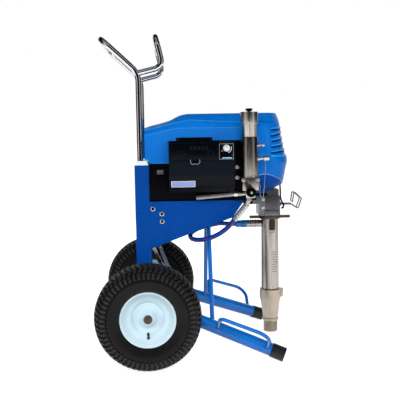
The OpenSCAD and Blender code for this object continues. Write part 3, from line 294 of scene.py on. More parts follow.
def bevelled(node_name, width, segments):
    """A copy of a CAD node with its hard edges rounded."""
    source = nodes[node_name]
    bm = bmesh.new()
    bm.from_mesh(source.data)
    bmesh.ops.remove_doubles(bm, verts=bm.verts, dist=2e-6)
    bmesh.ops.dissolve_limit(bm, angle_limit=radians(0.6), verts=bm.verts, edges=bm.edges)
    hard = [e for e in bm.edges if len(e.link_faces) == 2 and e.calc_face_angle(0) > radians(HARD_EDGE)]
    bmesh.ops.bevel(bm, geom=hard, offset=width * MM, offset_type="OFFSET", segments=segments, profile=0.6,
                    affect="EDGES", clamp_overlap=True)
    mesh = bpy.data.meshes.new(node_name + "_edges")
    bm.to_mesh(mesh)
    bm.free()
    return add_piece(node_name + "_shell", mesh, LOOK[node_name], source["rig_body"], slot_of[node_name],
                     stands_for=[node_name], angle=40)


def full_circle(count):
    return [2 * pi * k / count for k in range(count)]


def lathe(name, profile, centre, axis, *wear, steps=96, **more):
    """Turns (radius, height) pairs round an axis, X, Y or Z, through centre."""
    rows = []
    for r, h in profile:
        row = []
        for q in full_circle(steps):
            c, s = r * cos(q), r * sin(q)
            local = {"X": (h, c, s), "Y": (s, h, c), "Z": (c, s, h)}[axis]
            row.append([a + b for a, b in zip(centre, local)])
        rows.append(row)
    return skin(name, rows, *wear, loop=True, **more)


def closed(profile):
    return list(profile) + [profile[0]]


def smooth_line(points, steps=6):
    """A Catmull-Rom line through the points."""
    out = []
    p = [points[0]] + list(points) + [points[-1]]
    for i in range(1, len(p) - 2):
        for k in range(steps):
            t = k / steps
            out.append(tuple(0.5 * (2 * p[i][j] + (p[i + 1][j] - p[i - 1][j]) * t
                                    + (2 * p[i - 1][j] - 5 * p[i][j] + 4 * p[i + 1][j] - p[i + 2][j]) * t * t
                                    + (3 * p[i][j] - p[i - 1][j] - 3 * p[i + 1][j] + p[i + 2][j]) * t ** 3)
                             for j in range(len(points[0]))))
    return out + [tuple(points[-1])]


def rounded(points, radius, steps=4):
    """An open outline whose inner corners are rounded."""
    out = [points[0]]
    for i in range(1, len(points) - 1):
        p, a, b = Vector(points[i]), Vector(points[i - 1]), Vector(points[i + 1])
        r = radius[i] if hasattr(radius, "__len__") else radius
        ra, rb = min(r, (a - p).length * 0.45), min(r, (b - p).length * 0.45)
        start, end = p + (a - p).normalized() * ra, p + (b - p).normalized() * rb
        for k in range(steps + 1):
            t = k / steps
            out.append(tuple((1 - t) ** 2 * start + 2 * t * (1 - t) * p + t * t * end))
    return out + [points[-1]]


def skin(name, rows, *wear, loop=False, **more):
    """Joins rows of points of equal length; loop closes each row."""
    points = [p for row in rows for p in row]
    n = len(rows[0])
    faces = []
    for i in range(len(rows) - 1):
        for k in range(n if loop else n - 1):
            m = (k + 1) % n
            faces.append((i * n + k, i * n + m, (i + 1) * n + m, (i + 1) * n + k))
    return from_mm(name, points, faces, *wear, **more)


def block(name, low, high, *wear, edge=0.8, turn=None, **more):
    """A box with rounded edges; turn is (angle in degrees, axis) about its middle."""
    bm = bmesh.new()
    bmesh.ops.create_cube(bm, size=1)
    size = [(b - a) * MM for a, b in zip(low, high)]
    middle = place(*[(b + a) / 2 for a, b in zip(low, high)])
    bmesh.ops.scale(bm, vec=size, verts=bm.verts)
    bmesh.ops.bevel(bm, geom=list(bm.edges), offset=edge * MM, segments=2, profile=0.6, affect="EDGES")
    if turn:
        matrix = Matrix.Rotation(radians(turn[0]), 3, turn[1])
        bmesh.ops.rotate(bm, cent=(0, 0, 0), matrix=matrix, verts=bm.verts)
    bmesh.ops.translate(bm, vec=middle, verts=bm.verts)
    mesh = bpy.data.meshes.new(name)
    bm.to_mesh(mesh)
    bm.free()
    return add_piece(name, mesh, *wear, **more)


def tube(name, route, radius, *wear, sides=8, smooth=True, steps=6, flat=None):
    """A round bar along a route, or one whose section has the two radii in flat."""
    path = [Vector(p) for p in (smooth_line(route, steps) if smooth else route)]
    wide, high = flat or (radius, radius)
    rows = []
    side = None
    for i, p in enumerate(path):
        t = (path[min(i + 1, len(path) - 1)] - path[max(i - 1, 0)]).normalized()
        if side is None:
            side = t.cross(Vector((0, 0, 1)) if abs(t.z) < 0.9 else Vector((1, 0, 0))).normalized()
        side = (side - t * side.dot(t)).normalized()
        other = t.cross(side)
        rows.append([p + cos(q) * wide * side + sin(q) * high * other for q in full_circle(sides)])
    ends = [[sum(row, Vector()) / sides] * sides for row in (rows[0], rows[-1])]
    return skin(name, [ends[0]] + rows + [ends[1]], *wear, loop=True)


def square_to(line):
    """Two directions square to a line and to each other, then the line's own."""
    z = Vector(line).normalized()
    x = z.orthogonal().normalized()
    return x, z.cross(x), z


def lathe_between(name, a, b, profile, *wear, steps=32, **more):
    """Turns (radius, distance from a) pairs round the line from a to b."""
    a = Vector(a)
    x, y, z = square_to(Vector(b) - a)
    rows = [[a + z * t + r * (cos(q) * x + sin(q) * y) for q in full_circle(steps)] for r, t in profile]
    return skin(name, rows, *wear, loop=True, **more)


def row_between(a, b, count):
    return [a + (b - a) * k / (count - 1) for k in range(count)]


def look_up(rows, at):
    """The rest of a row at one first number, on straight lines between rows that rise."""
    for low, high in zip(rows, rows[1:]):
        if at <= high[0]:
            t = max(0.0, (at - low[0]) / (high[0] - low[0]))
            return [a + (b - a) * t for a, b in zip(low[1:], high[1:])]
    return rows[-1][1:]


# ---- hose and chain
HOSE = [(277, -197, 447), (259, -198.8, 426.3), (238, -200, 410), (218, -199, 399), (196, -196, 390),
        (174, -186, 385), (156, -169, 383), (144, -147, 384), (140, -122, 388), (144, -97, 393),
        (156, -73, 399), (174, -55, 405), (196, -45, 410), (220, -35, 413.5), (242, -22.5, 415.5),
        (256, -13, 414), (270, -5.6, 412), (283, -1.4, 410.6), (295, 0, 410), (302, 0, 410)]
CHAIN = [(357.1, -199, 580), (359, -199, 568), (361, -199, 552), (361, -199, 536), (363, -199, 522),
         (367, -200, 517), (371, -201, 522), (373, -202, 540), (375, -203, 565), (377, -203, 595),
         (378, -203, 633)]
HOSE_R, WIRE_R, BALL_R, BALL_PITCH = 7.8, 0.55, 1.1, 3.0


def add_hose():
    o = tube("hose", HOSE, HOSE_R, "hose", sides=24, steps=5)
    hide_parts("pump_hose")


def add_chain():
    """Balls strung on a thin wire."""
    route = smooth_line(CHAIN, 8)
    o = tube("chain_wire", CHAIN, WIRE_R, "chrome", sides=6, steps=8)
    bm = bmesh.new()
    bm.from_mesh(o.data)
    done = 0.0
    last = Vector(route[0])
    for q in map(Vector, route[1:]):
        span = (q - last).length
        while done + span >= BALL_PITCH:
            last = last + (q - last).normalized() * (BALL_PITCH - done)
            span = (q - last).length
            done = 0.0
            bmesh.ops.create_uvsphere(bm, u_segments=8, v_segments=6, radius=BALL_R * MM,
                                      matrix=Matrix.Translation(place(*last)))
        done += span
        last = q
    bm.to_mesh(o.data)
    bm.free()
    o.data.shade_smooth()
    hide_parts("cap_chain")


add_hose()
add_chain()


# ---- wheels
TYRE_R, TYRE_HALF, BEAD_R, WHEEL_Y = 165, 62, 76.5, 285
GROOVE, TREAD_EDGE = 5.0, 84  # the tread's depth in mm, and where on the section it ends, in degrees
TREAD_BLOCKS = 60
# Rows of tread blocks: angles on the section, where each starts round the tyre and its width, in blocks
TREAD = [((60, 66, 72, 78, 84), (0.1, 0.1, 0.1, 0.1, 0.1), 0.52),
         ((40, 46, 52, 56), (0.5, 0.42, 0.3, 0.2), 0.56),
         ((4, 9, 13), (0, 0.25, 0), 0.72),
         ((18, 24, 30, 35), (0.5, 0.32, 0.5, 0.6), 0.64)]


def wheel_point(r, w, angle, side):
    return r * sin(angle), side * (WHEEL_Y + w), TYRE_R + r * cos(angle)


def turn_on_wheel(name, profile, side, look, **more):
    """Turns (radius, distance outward from the wheel's middle) pairs round the axle."""
    pairs = [(r, side * (WHEEL_Y + w)) for r, w in profile]
    return lathe(name, pairs, (0, 0, TYRE_R), "Y", look, "wheel_" + hand(side), **more)


def hand(side):
    return "left" if side > 0 else "right"


def tyre_point(t, sink=0.0):
    """(radius, width) on the tyre's section at t degrees from the crown."""
    e = 2 / 2.6
    c, s = cos(radians(t)), sin(radians(t))
    middle, half = (BEAD_R + TYRE_R) / 2, (TYRE_R - BEAD_R) / 2
    r = middle + (half - sink) * copysign(abs(c) ** e, c)
    return r, (TYRE_HALF - sink) * copysign(abs(s) ** e, s)


def add_tyre(side):
    """The tyre's body, with two raised rings on its wall, and its tread."""
    name = "tyre_" + hand(side)
    profile = []
    for t in range(-150, 151, 3):
        sink = GROOVE if abs(t) < TREAD_EDGE else max(0.0, GROOVE * (1 - (abs(t) - TREAD_EDGE) / 6))
        ring = -0.5 if abs(t) in (99, 126) else 0.0
        profile.append(tyre_point(t, sink + ring))
    turn_on_wheel(name + "_carcass", profile, side, "tyre", steps=144, stands_for=[name], angle=28)
    points, faces = [], []
    step = 360 / TREAD_BLOCKS
    for k in range(TREAD_BLOCKS):
        for mirror in (-1, 1):
            for angles, starts, width in TREAD:
                add_block_of_tread(points, faces, side, [mirror * t for t in angles],
                                   [step * (k + start) for start in starts], step * width)
    from_mm(name + "_tread", points, faces, "lug", "wheel_" + hand(side), angle=28)


def add_block_of_tread(points, faces, side, angles, starts, width):
    """One block: it runs over the section's angles, and leans with its starts round the tyre."""
    base = len(points)
    for t, start in zip(angles, starts):
        for depth in (0.0, GROOVE + 0.5):
            r, w = tyre_point(t, depth)
            inset = 0.0 if depth else 0.06 * width
            for a in (start + inset, start + width - inset):
                points.append(wheel_point(r, w, radians(a), side))
    for i in range(len(angles) - 1):
        p, q = base + 4 * i, base + 4 * (i + 1)
        faces.extend([(p, p + 1, q + 1, q), (p, q, q + 2, p + 2), (p + 1, p + 3, q + 3, q + 1)])
    end = base + 4 * (len(angles) - 1)
    faces.extend([(base, base + 2, base + 3, base + 1), (end, end + 1, end + 3, end + 2)])


def add_rim(side):
    """The pressed rim, its valve and the ring round its hub."""
    name = "rim_" + hand(side)
    outline = [(89, 40), (89, 45), (86, 46), (82, 45.6), (79, 43), (76, 38.5), (73, 33), (69, 27), (65, 22.5),
               (60, 19.5), (55, 17.2), (51.5, 15), (49.5, 11), (48, 7.2), (44, 6.4), (36, 7), (30, 9), (25, 13),
               (21.5, 18), (19.2, 23), (19, 30), (19, 35), (18.2, 36), (14.3, 36)]
    face = rounded(outline, 2.2, 3)
    inner = [(r, -w) for r, w in reversed(face)]
    barrel = [(86, -38), (80, -40), (74, -32), (66, -18), (55, -11), (55, 11), (66, 18), (74, 32), (80, 40),
              (86, 38)]
    turn_on_wheel(name + "_pressed", closed(face + inner + barrel), side, "rim", stands_for=[name], angle=50)
    stem = [(0.01, 0), (5, 0), (5, 6), (3.4, 9), (3.4, 17), (4, 17.5), (4, 27), (3, 28.5), (0.01, 28.5)]
    root, tip = (0, side * (WHEEL_Y + 17), TYRE_R - 66), (0, side * (WHEEL_Y + 32), TYRE_R - 44)
    lathe_between(name + "_valve", root, tip, stem, "rubber", "wheel_" + hand(side), steps=20)
    hub = [(19.2, 24), (21, 24.5), (22.6, 23), (22.8, 20), (21.5, 17), (19.2, 17)]
    turn_on_wheel(name + "_hub_ring", hub, side, "rim", steps=64)


for side in (-1, 1):
    add_tyre(side)
    add_rim(side)


# ---- motor cover
# Along X: height of the shoulder line, of the crease line and of the roof
COVER = [(-2, 723, 735, 744), (16, 726.5, 739, 750), (49, 733.5, 746.5, 758), (81, 740.5, 754, 767.5),
         (98, 743.5, 758, 776), (114, 744.5, 761.5, 783), (135, 745, 765.5, 787.5), (160, 745, 766, 788),
         (240, 744.2, 761, 788), (317.5, 743.5, 757.5, 788)]
COVER_HALF, COVER_FOOT = 155.0, 630.0
CAP_CLEAR, CAP_END = 642.0, 11  # the cover's foot over the uprights' caps, and where they end
WALL_X = -2
SIDES = ((-1, "near"), (1, "far"))  # sign of Y, and what the side is called


def cover_row(x, shoulder, crease, roof, foot):
    """The cover's outline across the machine at one X."""
    eave = roof - (9 if roof > 770 else 5)
    half = COVER_HALF
    climb = [(-half, foot), (-half, shoulder - 1), (-half + 15, crease), (-half + 37, eave), (-half + 54, roof)]
    line = climb + [(-y, z) for y, z in reversed(climb)]
    radii = [0, 5, 4, 9, 10, 10, 9, 4, 5, 0]
    return [(x, q[0], q[1]) for q in rounded(line, radii)]


def add_shroud():
    """The motor cover, whose sides end higher at the rear, over the uprights' caps."""
    rows = [cover_row(*at, CAP_CLEAR if at[0] < CAP_END else COVER_FOOT) for at in smooth_line(COVER, 3)]
    skin("cover_shell", rows, "shroud", stands_for=["shroud"], angle=50)
    add_rear_wall(rows[0])


def add_rear_wall(first):
    """The rear of the motor cover: one upright panel that ends over the uprights' caps."""
    ys = row_between(-COVER_HALF, COVER_HALF, 25)
    rows = [[(WALL_X, y, z) for y in ys] for z in (CAP_CLEAR, 670, 712)]
    outline = sorted((y, z) for x, y, z in first if z > 700)
    tops = [(WALL_X, y, *look_up(outline, y)) for y in ys]
    skin("cover_rear_wall", rows + [tops], "shroud", angle=40)


def add_cover_edges():
    """The folded hem under the cover, and thin lines along its crease and shoulder, painted pale blue as
    highlights.
    """
    for s, key in SIDES:
        y = s * COVER_HALF
        end = 282 if s < 0 else 317
        block(f"cover_hem_{key}", (CAP_END, y - 1.2, 629), (end, y + 1.2, 634), "shroud", edge=0.9)
        # thin tubes painted pale blue as highlights along the crease and the shoulder
        crease = [(x, s * 140.3, b + 0.2) for x, a, b, c in COVER]
        tube(f"cover_crease_highlight_{key}", crease, 0.9, "lip")
        shoulder = [(x, s * 154.6, a - 4) for x, a, b, c in COVER]
        tube(f"cover_shoulder_highlight_{key}", shoulder, 0.7, "lip")


add_shroud()
add_cover_edges()


# ---- front cover
JOINT_X, ROOF_Z = 318.5, 788
NOSE_SQUARE = 2.7  # 2 would make the plan of the nose an ellipse


def nose_flat(half, nose):
    """How far the front cover's sides run straight before they turn in."""
    return max(0.0, nose - JOINT_X - half * 0.72)


def nose_row(z, half, nose, count=28):
    """Plan of the front cover at one height, from the near side round the nose to the far side."""
    row = [(JOINT_X, -half, z)]
    flat = nose_flat(half, nose)
    e = 2 / NOSE_SQUARE
    for k in range(count + 1):
        a = pi * k / count
        c, s = cos(a), sin(a)
        y = -half * copysign(abs(c) ** e, c)
        x = JOINT_X + flat + (nose - JOINT_X - flat) * abs(s) ** e
        row.append((x, y, z))
    return row + [(JOINT_X, half, z)]


# Rows of the front cover: height, half width, foremost X
UPPER = [(787.8, 99, 436), (786.5, 103, 440), (783, 108, 442), (776, 116, 444), (766, 130, 447.5),
         (757, 142, 449.5), (750, 149, 451), (744, 153.5, 451.5), (735, 155, 452.5), (719, 155, 454),
         (698, 155, 458), (678, 155, 461.5), (657, 155, 467), (650, 155, 469)]
LOWER = [(645, 155.8, 473), (637, 156, 474.8), (627, 155.4, 475.6), (623, 154, 475), (616, 152, 473.5),
         (606, 149.5, 471), (596, 147.5, 469), (586, 146, 467.5), (576, 143.5, 465), (565, 140, 463.5),
         (555, 133, 461), (550, 129, 458), (541, 117, 441), (532, 106, 423), (519, 91, 400), (510, 80, 397)]


def nose_at(z):
    """Half width and foremost X of the front cover at one height."""
    return look_up(sorted(UPPER + LOWER), z)


def nose_side(x, z):
    """Where the front cover's near side is at x and z."""
    half, nose = nose_at(z)
    flat = nose_flat(half, nose)
    s = max(0.0, min(1.0, (x - JOINT_X - flat) / (nose - JOINT_X - flat))) ** (NOSE_SQUARE / 2)
    return -half * (1 - s * s) ** (1 / NOSE_SQUARE)


# The bead that borders the front cover's bowl, painted darker as shade of the underside, in X and Z
BEAD = [(365, 586), (380, 588.5), (394, 588), (408, 584), (421, 578.5), (432, 573), (441, 566.5), (447, 560)]
# from this X on, the front cover is painted darker under the bead, as shade of its underside
SHADED_BOWL_START = 350  # X from which the front cover is darker under the bead
ROD_GAP = ((JOINT_X + 2, -51, 0), (456, 51, 542))  # the opening under the nose, through which the pump hangs


def add_front_cover():
    """The louvred nose: closed on top, open underneath for the pump, its lowest part painted a darker blue as
    shade of the underside.
    """
    fine = [589 - 2.5 * k for k in range(13)]  # close rows where the bead runs
    heights = [z for z, h, n in UPPER + LOWER if z > 590 or z < 558] + fine
    rows = [nose_row(z, *nose_at(z)) for z in sorted(heights, reverse=True)]
    middle = [(JOINT_X + (x - JOINT_X) * 0.4, y * 0.4, ROOF_Z) for x, y, z in rows[0]]
    rows = [[(JOINT_X, 0, ROOF_Z)] * len(middle), middle] + rows
    o = skin("nose_shell", rows, "shroud", stands_for=["front_cover"], angle=42)
    low, high = (place(*corner) for corner in ROD_GAP)

    def in_gap(p):
        return low.x < p.x < high.x and abs(p.y) < high.y and p.z < high.z

    bm = bmesh.new()
    bm.from_mesh(o.data)
    under = [f for f in bm.faces if in_gap(f.calc_center_median())]
    bmesh.ops.delete(bm, geom=under, context="FACES")
    bm.to_mesh(o.data)
    bm.free()
    # painted shade: faces of the bowl under the bead take a darker blue
    o.data.materials.append(MAT["deep"])
    for face in o.data.polygons:
        x, z = (face.center.x - AXLE_X) / MM, face.center.z / MM
        if x > SHADED_BOWL_START and z < look_up(BEAD, x)[0]:
            face.material_index = 1


add_front_cover()


def louvre_line(z, rise, out, dz, start=400):
    """Points round the nose that climb from the side to the foremost point."""
    half, nose = nose_at(z)
    line = []
    for x, y, _ in nose_row(z, half, nose, 56):
        if x > start:
            t = (x - start) / (nose - start)
            height = z + rise * t + dz
            h, n = nose_at(height)
            reach = (n + out - JOINT_X) / (nose - JOINT_X)
            line.append((JOINT_X + (x - JOINT_X) * reach, y * (h + out) / half, height))
    return line


def add_louvres():
    """Blades round the nose, each with its lip painted pale as a highlight over a narrow strip of painted
    shade, the flared band's edge painted as a highlight, the pale bead under the band and a line of painted
    shade along the nose's crease.
    """
    section = [(-1, 7), (1.2, 3.5), (3.0, 0.4), (2.6, -0.8), (-1.5, -1.6)]
    for k, (z, rise) in enumerate([(734, 3), (713.5, 11), (696, 9), (677.7, 8), (659, 7)]):
        blade = [louvre_line(z, rise, out, dz) for out, dz in section]
        skin(f"louvre_blade_{k}", blade, "shroud", angle=38)
        # painted highlight along each blade's lip
        lip = [louvre_line(z, rise, out, dz, 401) for out, dz in [(1.9, 3.4), (3.6, 0.2)]]
        skin(f"louvre_highlight_lip_{k}", lip, "lip")
        # a dark strip of painted shade under each blade
        gap = [louvre_line(z, rise, 0.5, dz, 402) for dz in (-0.8, -6.8)]
        skin(f"louvre_slot_{k}", gap, "slot")
    # painted highlight along the flared band's top edge
    band = [louvre_line(648, 0, out, dz, 398) for out, dz in [(0.6, 0.5), (1.6, -3.5)]]
    skin("band_highlight_lip", band, "lip")
    bead = [(x, nose_side(x, z) - 0.4, z) for x, z in BEAD]
    tube("nose_bead", bead, 1.3, "trim")
    # a dark line of painted shade along the nose's crease
    crease = [(x, nose_side(x, z) - 0.1, z) for x, z in [(363, 759.5), (380, 758.5), (398, 757), (415, 755)]]
    tube("nose_crease_shade", crease, 0.8, "slot")


add_louvres()


# ---- control box
DOOR_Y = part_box("display_door")[0].y / MM
PANEL_Y = -231.9
knob_low, knob_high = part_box("pressure_knob")
KNOB_X, KNOB_Z = 253, (knob_low.z + knob_high.z) / 2 / MM
SLOPE_TOP, SLOPE_Y = 593.5, -165  # below and outside these the box's slanted face is glossier
PLATE_TILT = (14, "X")


def add_control_box():
    box = bevelled("control_box", 2.2, 3)
    box.data.materials.append(MAT["gloss_low"])
    for face in box.data.polygons:
        if face.center.z < SLOPE_TOP * MM and face.center.y < SLOPE_Y * MM:
            face.material_index = 1
    bevelled("display_door", 1.2, 2)
    bevelled("control_panel", 0.4, 1)


def add_door_marks():
    """A faint raised frame, keys and dials on the door."""
    y = DOOR_Y
    outline = [(84, 694), (214, 694), (223, 688), (223, 652), (214, 646), (110, 646), (94, 660), (84, 694)]
    tube("door_frame_line", [(x, y - 0.1, z) for x, z in outline], 0.6, "matte", "door", smooth=False)
    for k in range(5):
        x = 140 + 12 * k
        block(f"door_key_{k}", (x, y - 0.5, 672), (x + 8, y + 0.2, 684), "matte", "door", edge=0.25)
    ring = [(9, y + 0.2), (9, y - 0.5), (11, y - 0.5), (11, y + 0.2)]
    for k, x in enumerate((112, 205)):
        lathe(f"door_dial_{k}", ring, (x, 0, 661), "Y", "matte", "door", steps=40)


def add_latch():
    """The bent wire under the door's edge, and its grip."""
    bend = [(141, 643), (141, 634), (145, 629), (150, 628), (153, 630), (157, 630), (160, 628), (165, 629),
            (169.5, 634), (169.5, 643)]
    tube("latch_line", [(x, DOOR_Y - 0.4, z) for x, z in bend], 0.8, "line", smooth=False)
    block("latch_grip", (145, -233.5, 630), (166, -229, 640), "base", edge=1.5)


def mark_panel(name, low, high, look, proud=0.0):
    """A thin flat mark on the knob's panel, between two corners in X and Z."""
    y = PANEL_Y - proud
    block(name, (low[0], y, low[1]), (high[0], y + 0.6, high[1]), look, edge=0.2)


def add_panel_marks():
    """The panel's pale frame, its bar and mark, and the arc round the knob."""
    frame_lines = [((230.4, 642), (231.4, 690)), ((274, 642), (275, 690)), ((231, 689.4), (275, 690.4)),
                   ((231, 642), (275, 643))]
    for k, (low, high) in enumerate(frame_lines):
        mark_panel(f"panel_line_{k}", low, high, "line")
    mark_panel("panel_bar", (240, 644.5), (270, 648), "sky", 0.1)
    mark_panel("panel_mark", (237, 666), (241, 670), "orange", 0.1)
    turns = [radians(a) for a in range(70, 165, 8)]
    arc = [(KNOB_X + 15.5 * sin(q), PANEL_Y + 0.2, KNOB_Z + 15.5 * cos(q)) for q in turns]
    tube("panel_arc", arc, 1.3, "white", smooth=False)


def add_plate():
    """The bare plate on the slanted lower part of the box."""
    block("bare_plate_rim", (80, -226.0, 557), (155.5, -223.8, 577), "sleeve", slot="switch_grey", edge=0.5,
          turn=PLATE_TILT)
    block("bare_plate_face", (82, -226.5, 559), (153.5, -223.4, 575), "plate", edge=0.3, turn=PLATE_TILT)


def add_knob():
    """The knob, with flutes round its skirt, and its pointer."""
    rows = []
    for i, (r, y) in enumerate([(11, -233), (11, -236), (10.4, -237), (10.2, -244), (9.3, -246), (0.01, -246)]):
        depth = 0.35 if i in (2, 3) else 0
        radii = [(r - depth * (1 + cos(24 * q)), q) for q in full_circle(96)]
        rows.append([(KNOB_X + r * sin(q), y, KNOB_Z + r * cos(q)) for r, q in radii])
    skin("knob_fluted", rows, "white", "knob", loop=True, angle=40, stands_for=["pressure_knob"])
    low, high = (KNOB_X - 0.8, -246.4, KNOB_Z + 2), (KNOB_X + 0.8, -245.6, KNOB_Z + 8)
    block("knob_pointer", low, high, "dark", "knob", edge=0.2)


add_control_box()
add_door_marks()
add_latch()
add_panel_marks()
add_plate()
add_knob()


# ---- frame, handles and bolts
# CAD nodes with rounded edges: width and number of segments
EDGES = {"uprights": (2.4, 3), "gussets": (1.2, 2), "deck_plate": (0.8, 1), "motor_base": (3.0, 2),
         "upright_caps": (1.2, 2), "manifold_bracket": (2.0, 2), "filter_manifold": (1.4, 2),
         "filter_cap": (1.0, 2), "filter_bowl": (0.8, 2), "jam_nut": (1.0, 2), "bearing_housing": (1.6, 2),
         "foot_caps": (1.6, 2), "drive_housing": (2.0, 2)}
for name, (width, segments) in EDGES.items():
    bevelled(name, width, segments)

POST_X, POST_Y, HANDLE_R = -17, 146, 9.5
# Half of each handle's route, as distance before the post and height, and the radii of all its bends
HANDLES = {"push_handle": ([(0, 430), (0, 917), (-119, 1028)], (60, 42, 42, 60)),
           "hose_hook": ([(0, 917), (79, 936), (56, 1034)], (28, 36, 36, 28))}


def bent_line(corners, radii, steps=10):
    """A route of straight legs joined by true arcs."""
    out = [Vector(corners[0])]
    for before, corner, after, radius in zip(corners, corners[1:], corners[2:], radii):
        p = Vector(corner)
        a, b = (Vector(before) - p).normalized(), (Vector(after) - p).normalized()
        half = a.angle(b) / 2
        centre = p + (a + b).normalized() * radius / sin(half)
        reach = radius / tan(half)
        start, end = p + a * reach - centre, p + b * reach - centre
        turn = start.angle(end)
        for k in range(steps + 1):
            t = k / steps
            out.append(centre + (start * sin((1 - t) * turn) + end * sin(t * turn)) / sin(turn))
    return out + [Vector(corners[-1])]


def add_handles():
    """The push handle and the hose hook, as smooth bent tubes."""
    for key, (half, radii) in HANDLES.items():
        far = [(POST_X + x, POST_Y, z) for x, z in half]
        near = [(x, -y, z) for x, y, z in reversed(far)]
        o = tube(key + "_bent", bent_line(far + near, radii), HANDLE_R, "chrome", nodes[key]["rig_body"],
                 slot_of[key], sides=32, smooth=False)
        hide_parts(key)


def add_bolt(name, x, y, z, size=6.3, height=4.5):
    """A hexagon head on a washer; it faces -Y for a negative y."""
    s = -1 if y < 0 else 1
    washer = [(0.01, y), (size + 1.3, y), (size + 1.3, y + s * 1.2), (size, y + s * 1.4), (0.01, y + s * 1.4)]
    lathe(name + "_washer", washer, (x, 0, z), "Y", "zinc", steps=28)
    rows = [[(x + r * cos(q + 0.3), y + s * h, z + r * sin(q + 0.3)) for q in full_circle(6)]
            for r, h in [(size, 1.4), (size, height - 0.9), (size * 0.86, height), (0.01, height)]]
    skin(name + "_head", rows, "zinc", loop=True, angle=25)


add_handles()
for s, key in SIDES:
    for k, (x, z) in enumerate([(20.5, 485.5), (49, 468.5), (49, 444.5)]):
        add_bolt(f"gusset_bolt_{key}_{k}", x, s * 165, z)
for k, (x, y, z) in enumerate([(291.5, -176, 614), (291.5, -176, 581), (305.5, -229, 577), (350.5, -229, 577)]):
    add_bolt(f"bracket_bolt_{k}", x, y, z, 5.2, 4)


# ---- filter and fluid lines
FILTER_X, FILTER_Y = 328, -203
VALVE = (326, 0, 539)
# The manifold's rows from the top: height, half sizes in X and Y, squareness (2 is an ellipse)
BOSS = [(583, 22, 22, 3), (583, 25, 25, 3), (581, 26.2, 26, 3), (562, 26.2, 26, 3), (552, 25, 25.5, 3),
        (545, 21, 24, 3), (538, 17, 21, 3), (530, 14.5, 18, 4), (519, 14, 17, 4), (519, 9, 12, 4)]


def squared_row(x, y, z, half_x, half_y, power):
    """A closed row round (x, y) at height z, an ellipse with its sides pushed out."""
    row = []
    for q in full_circle(40):
        c, s = cos(q), sin(q)
        row.append((x + half_x * copysign(abs(c) ** (2 / power), c),
                    y + half_y * copysign(abs(s) ** (2 / power), s), z))
    return row


def add_filter_details():
    """The seams of the filter's cap, its plug, the manifold, the prime valve and the marks on the bowl."""
    x, y = FILTER_X, FILTER_Y
    for r, z0, z1, key in [(28.1, 752, 787, "head"), (24.6, 711, 750, "neck")]:
        seam = [(x - 1.0, y - r, z) for z in (z0, z1)]
        tube(f"filter_seam_{key}", seam, 0.7, "dark", smooth=False)
    plug = [(0.01, 11), (8, 11), (10.6, 10), (11, 7.5), (11, 4.5), (9, 3.2), (6, 3), (6, 0), (0.01, 0)]
    lathe("filter_plug_top", plug, (x, y, ROOF_Z), "Z", "gloss", steps=40, stands_for=["filter_plug"])
    rows = [squared_row(x, y - 1, *row) for row in BOSS]
    rows = [[(x, y, BOSS[0][0])] * len(rows[0])] + rows + [[(x, y, BOSS[-1][0])] * len(rows[0])]
    skin("manifold_boss", rows, "nickel", loop=True, stands_for=["filter_manifold"], angle=35)
    body = [(0.01, -205), (13.5, -205), (13.5, -229), (12.5, -231), (12.5, -238), (11, -240), (11, -242),
            (4, -242), (4, -265), (3.2, -266), (0.01, -266)]
    lathe("valve_body", body, VALVE, "Y", "nickel", steps=40)
    ring = [(4.1, -243), (14, -243), (15, -244.5), (15, -259), (14, -261), (11.5, -262), (9.6, -260), (9, -257),
            (7, -257), (6, -261), (4.1, -261)]
    lathe("prime_ring", closed(ring), VALVE, "Y", "base", "prime", steps=48, stands_for=["prime_handle"])
    collar = [(26.5, 583), (27.4, 583.6), (27.4, 588), (26.5, 589)]
    lathe("bowl_collar", collar, (x, y, 0), "Z", "nickel", steps=64)
    stem = [(0.01, -267), (3.6, -267), (4.6, -266), (4.6, -262.5), (4, -262)]
    lathe("valve_stem_end", stem, VALVE, "Y", "sleeve", steps=6)
    for k, z in enumerate((668, 700)):
        block(f"bowl_mark_{k}", (352.2, -212, z), (353.8, -209, z + 7), "orange", edge=0.3)


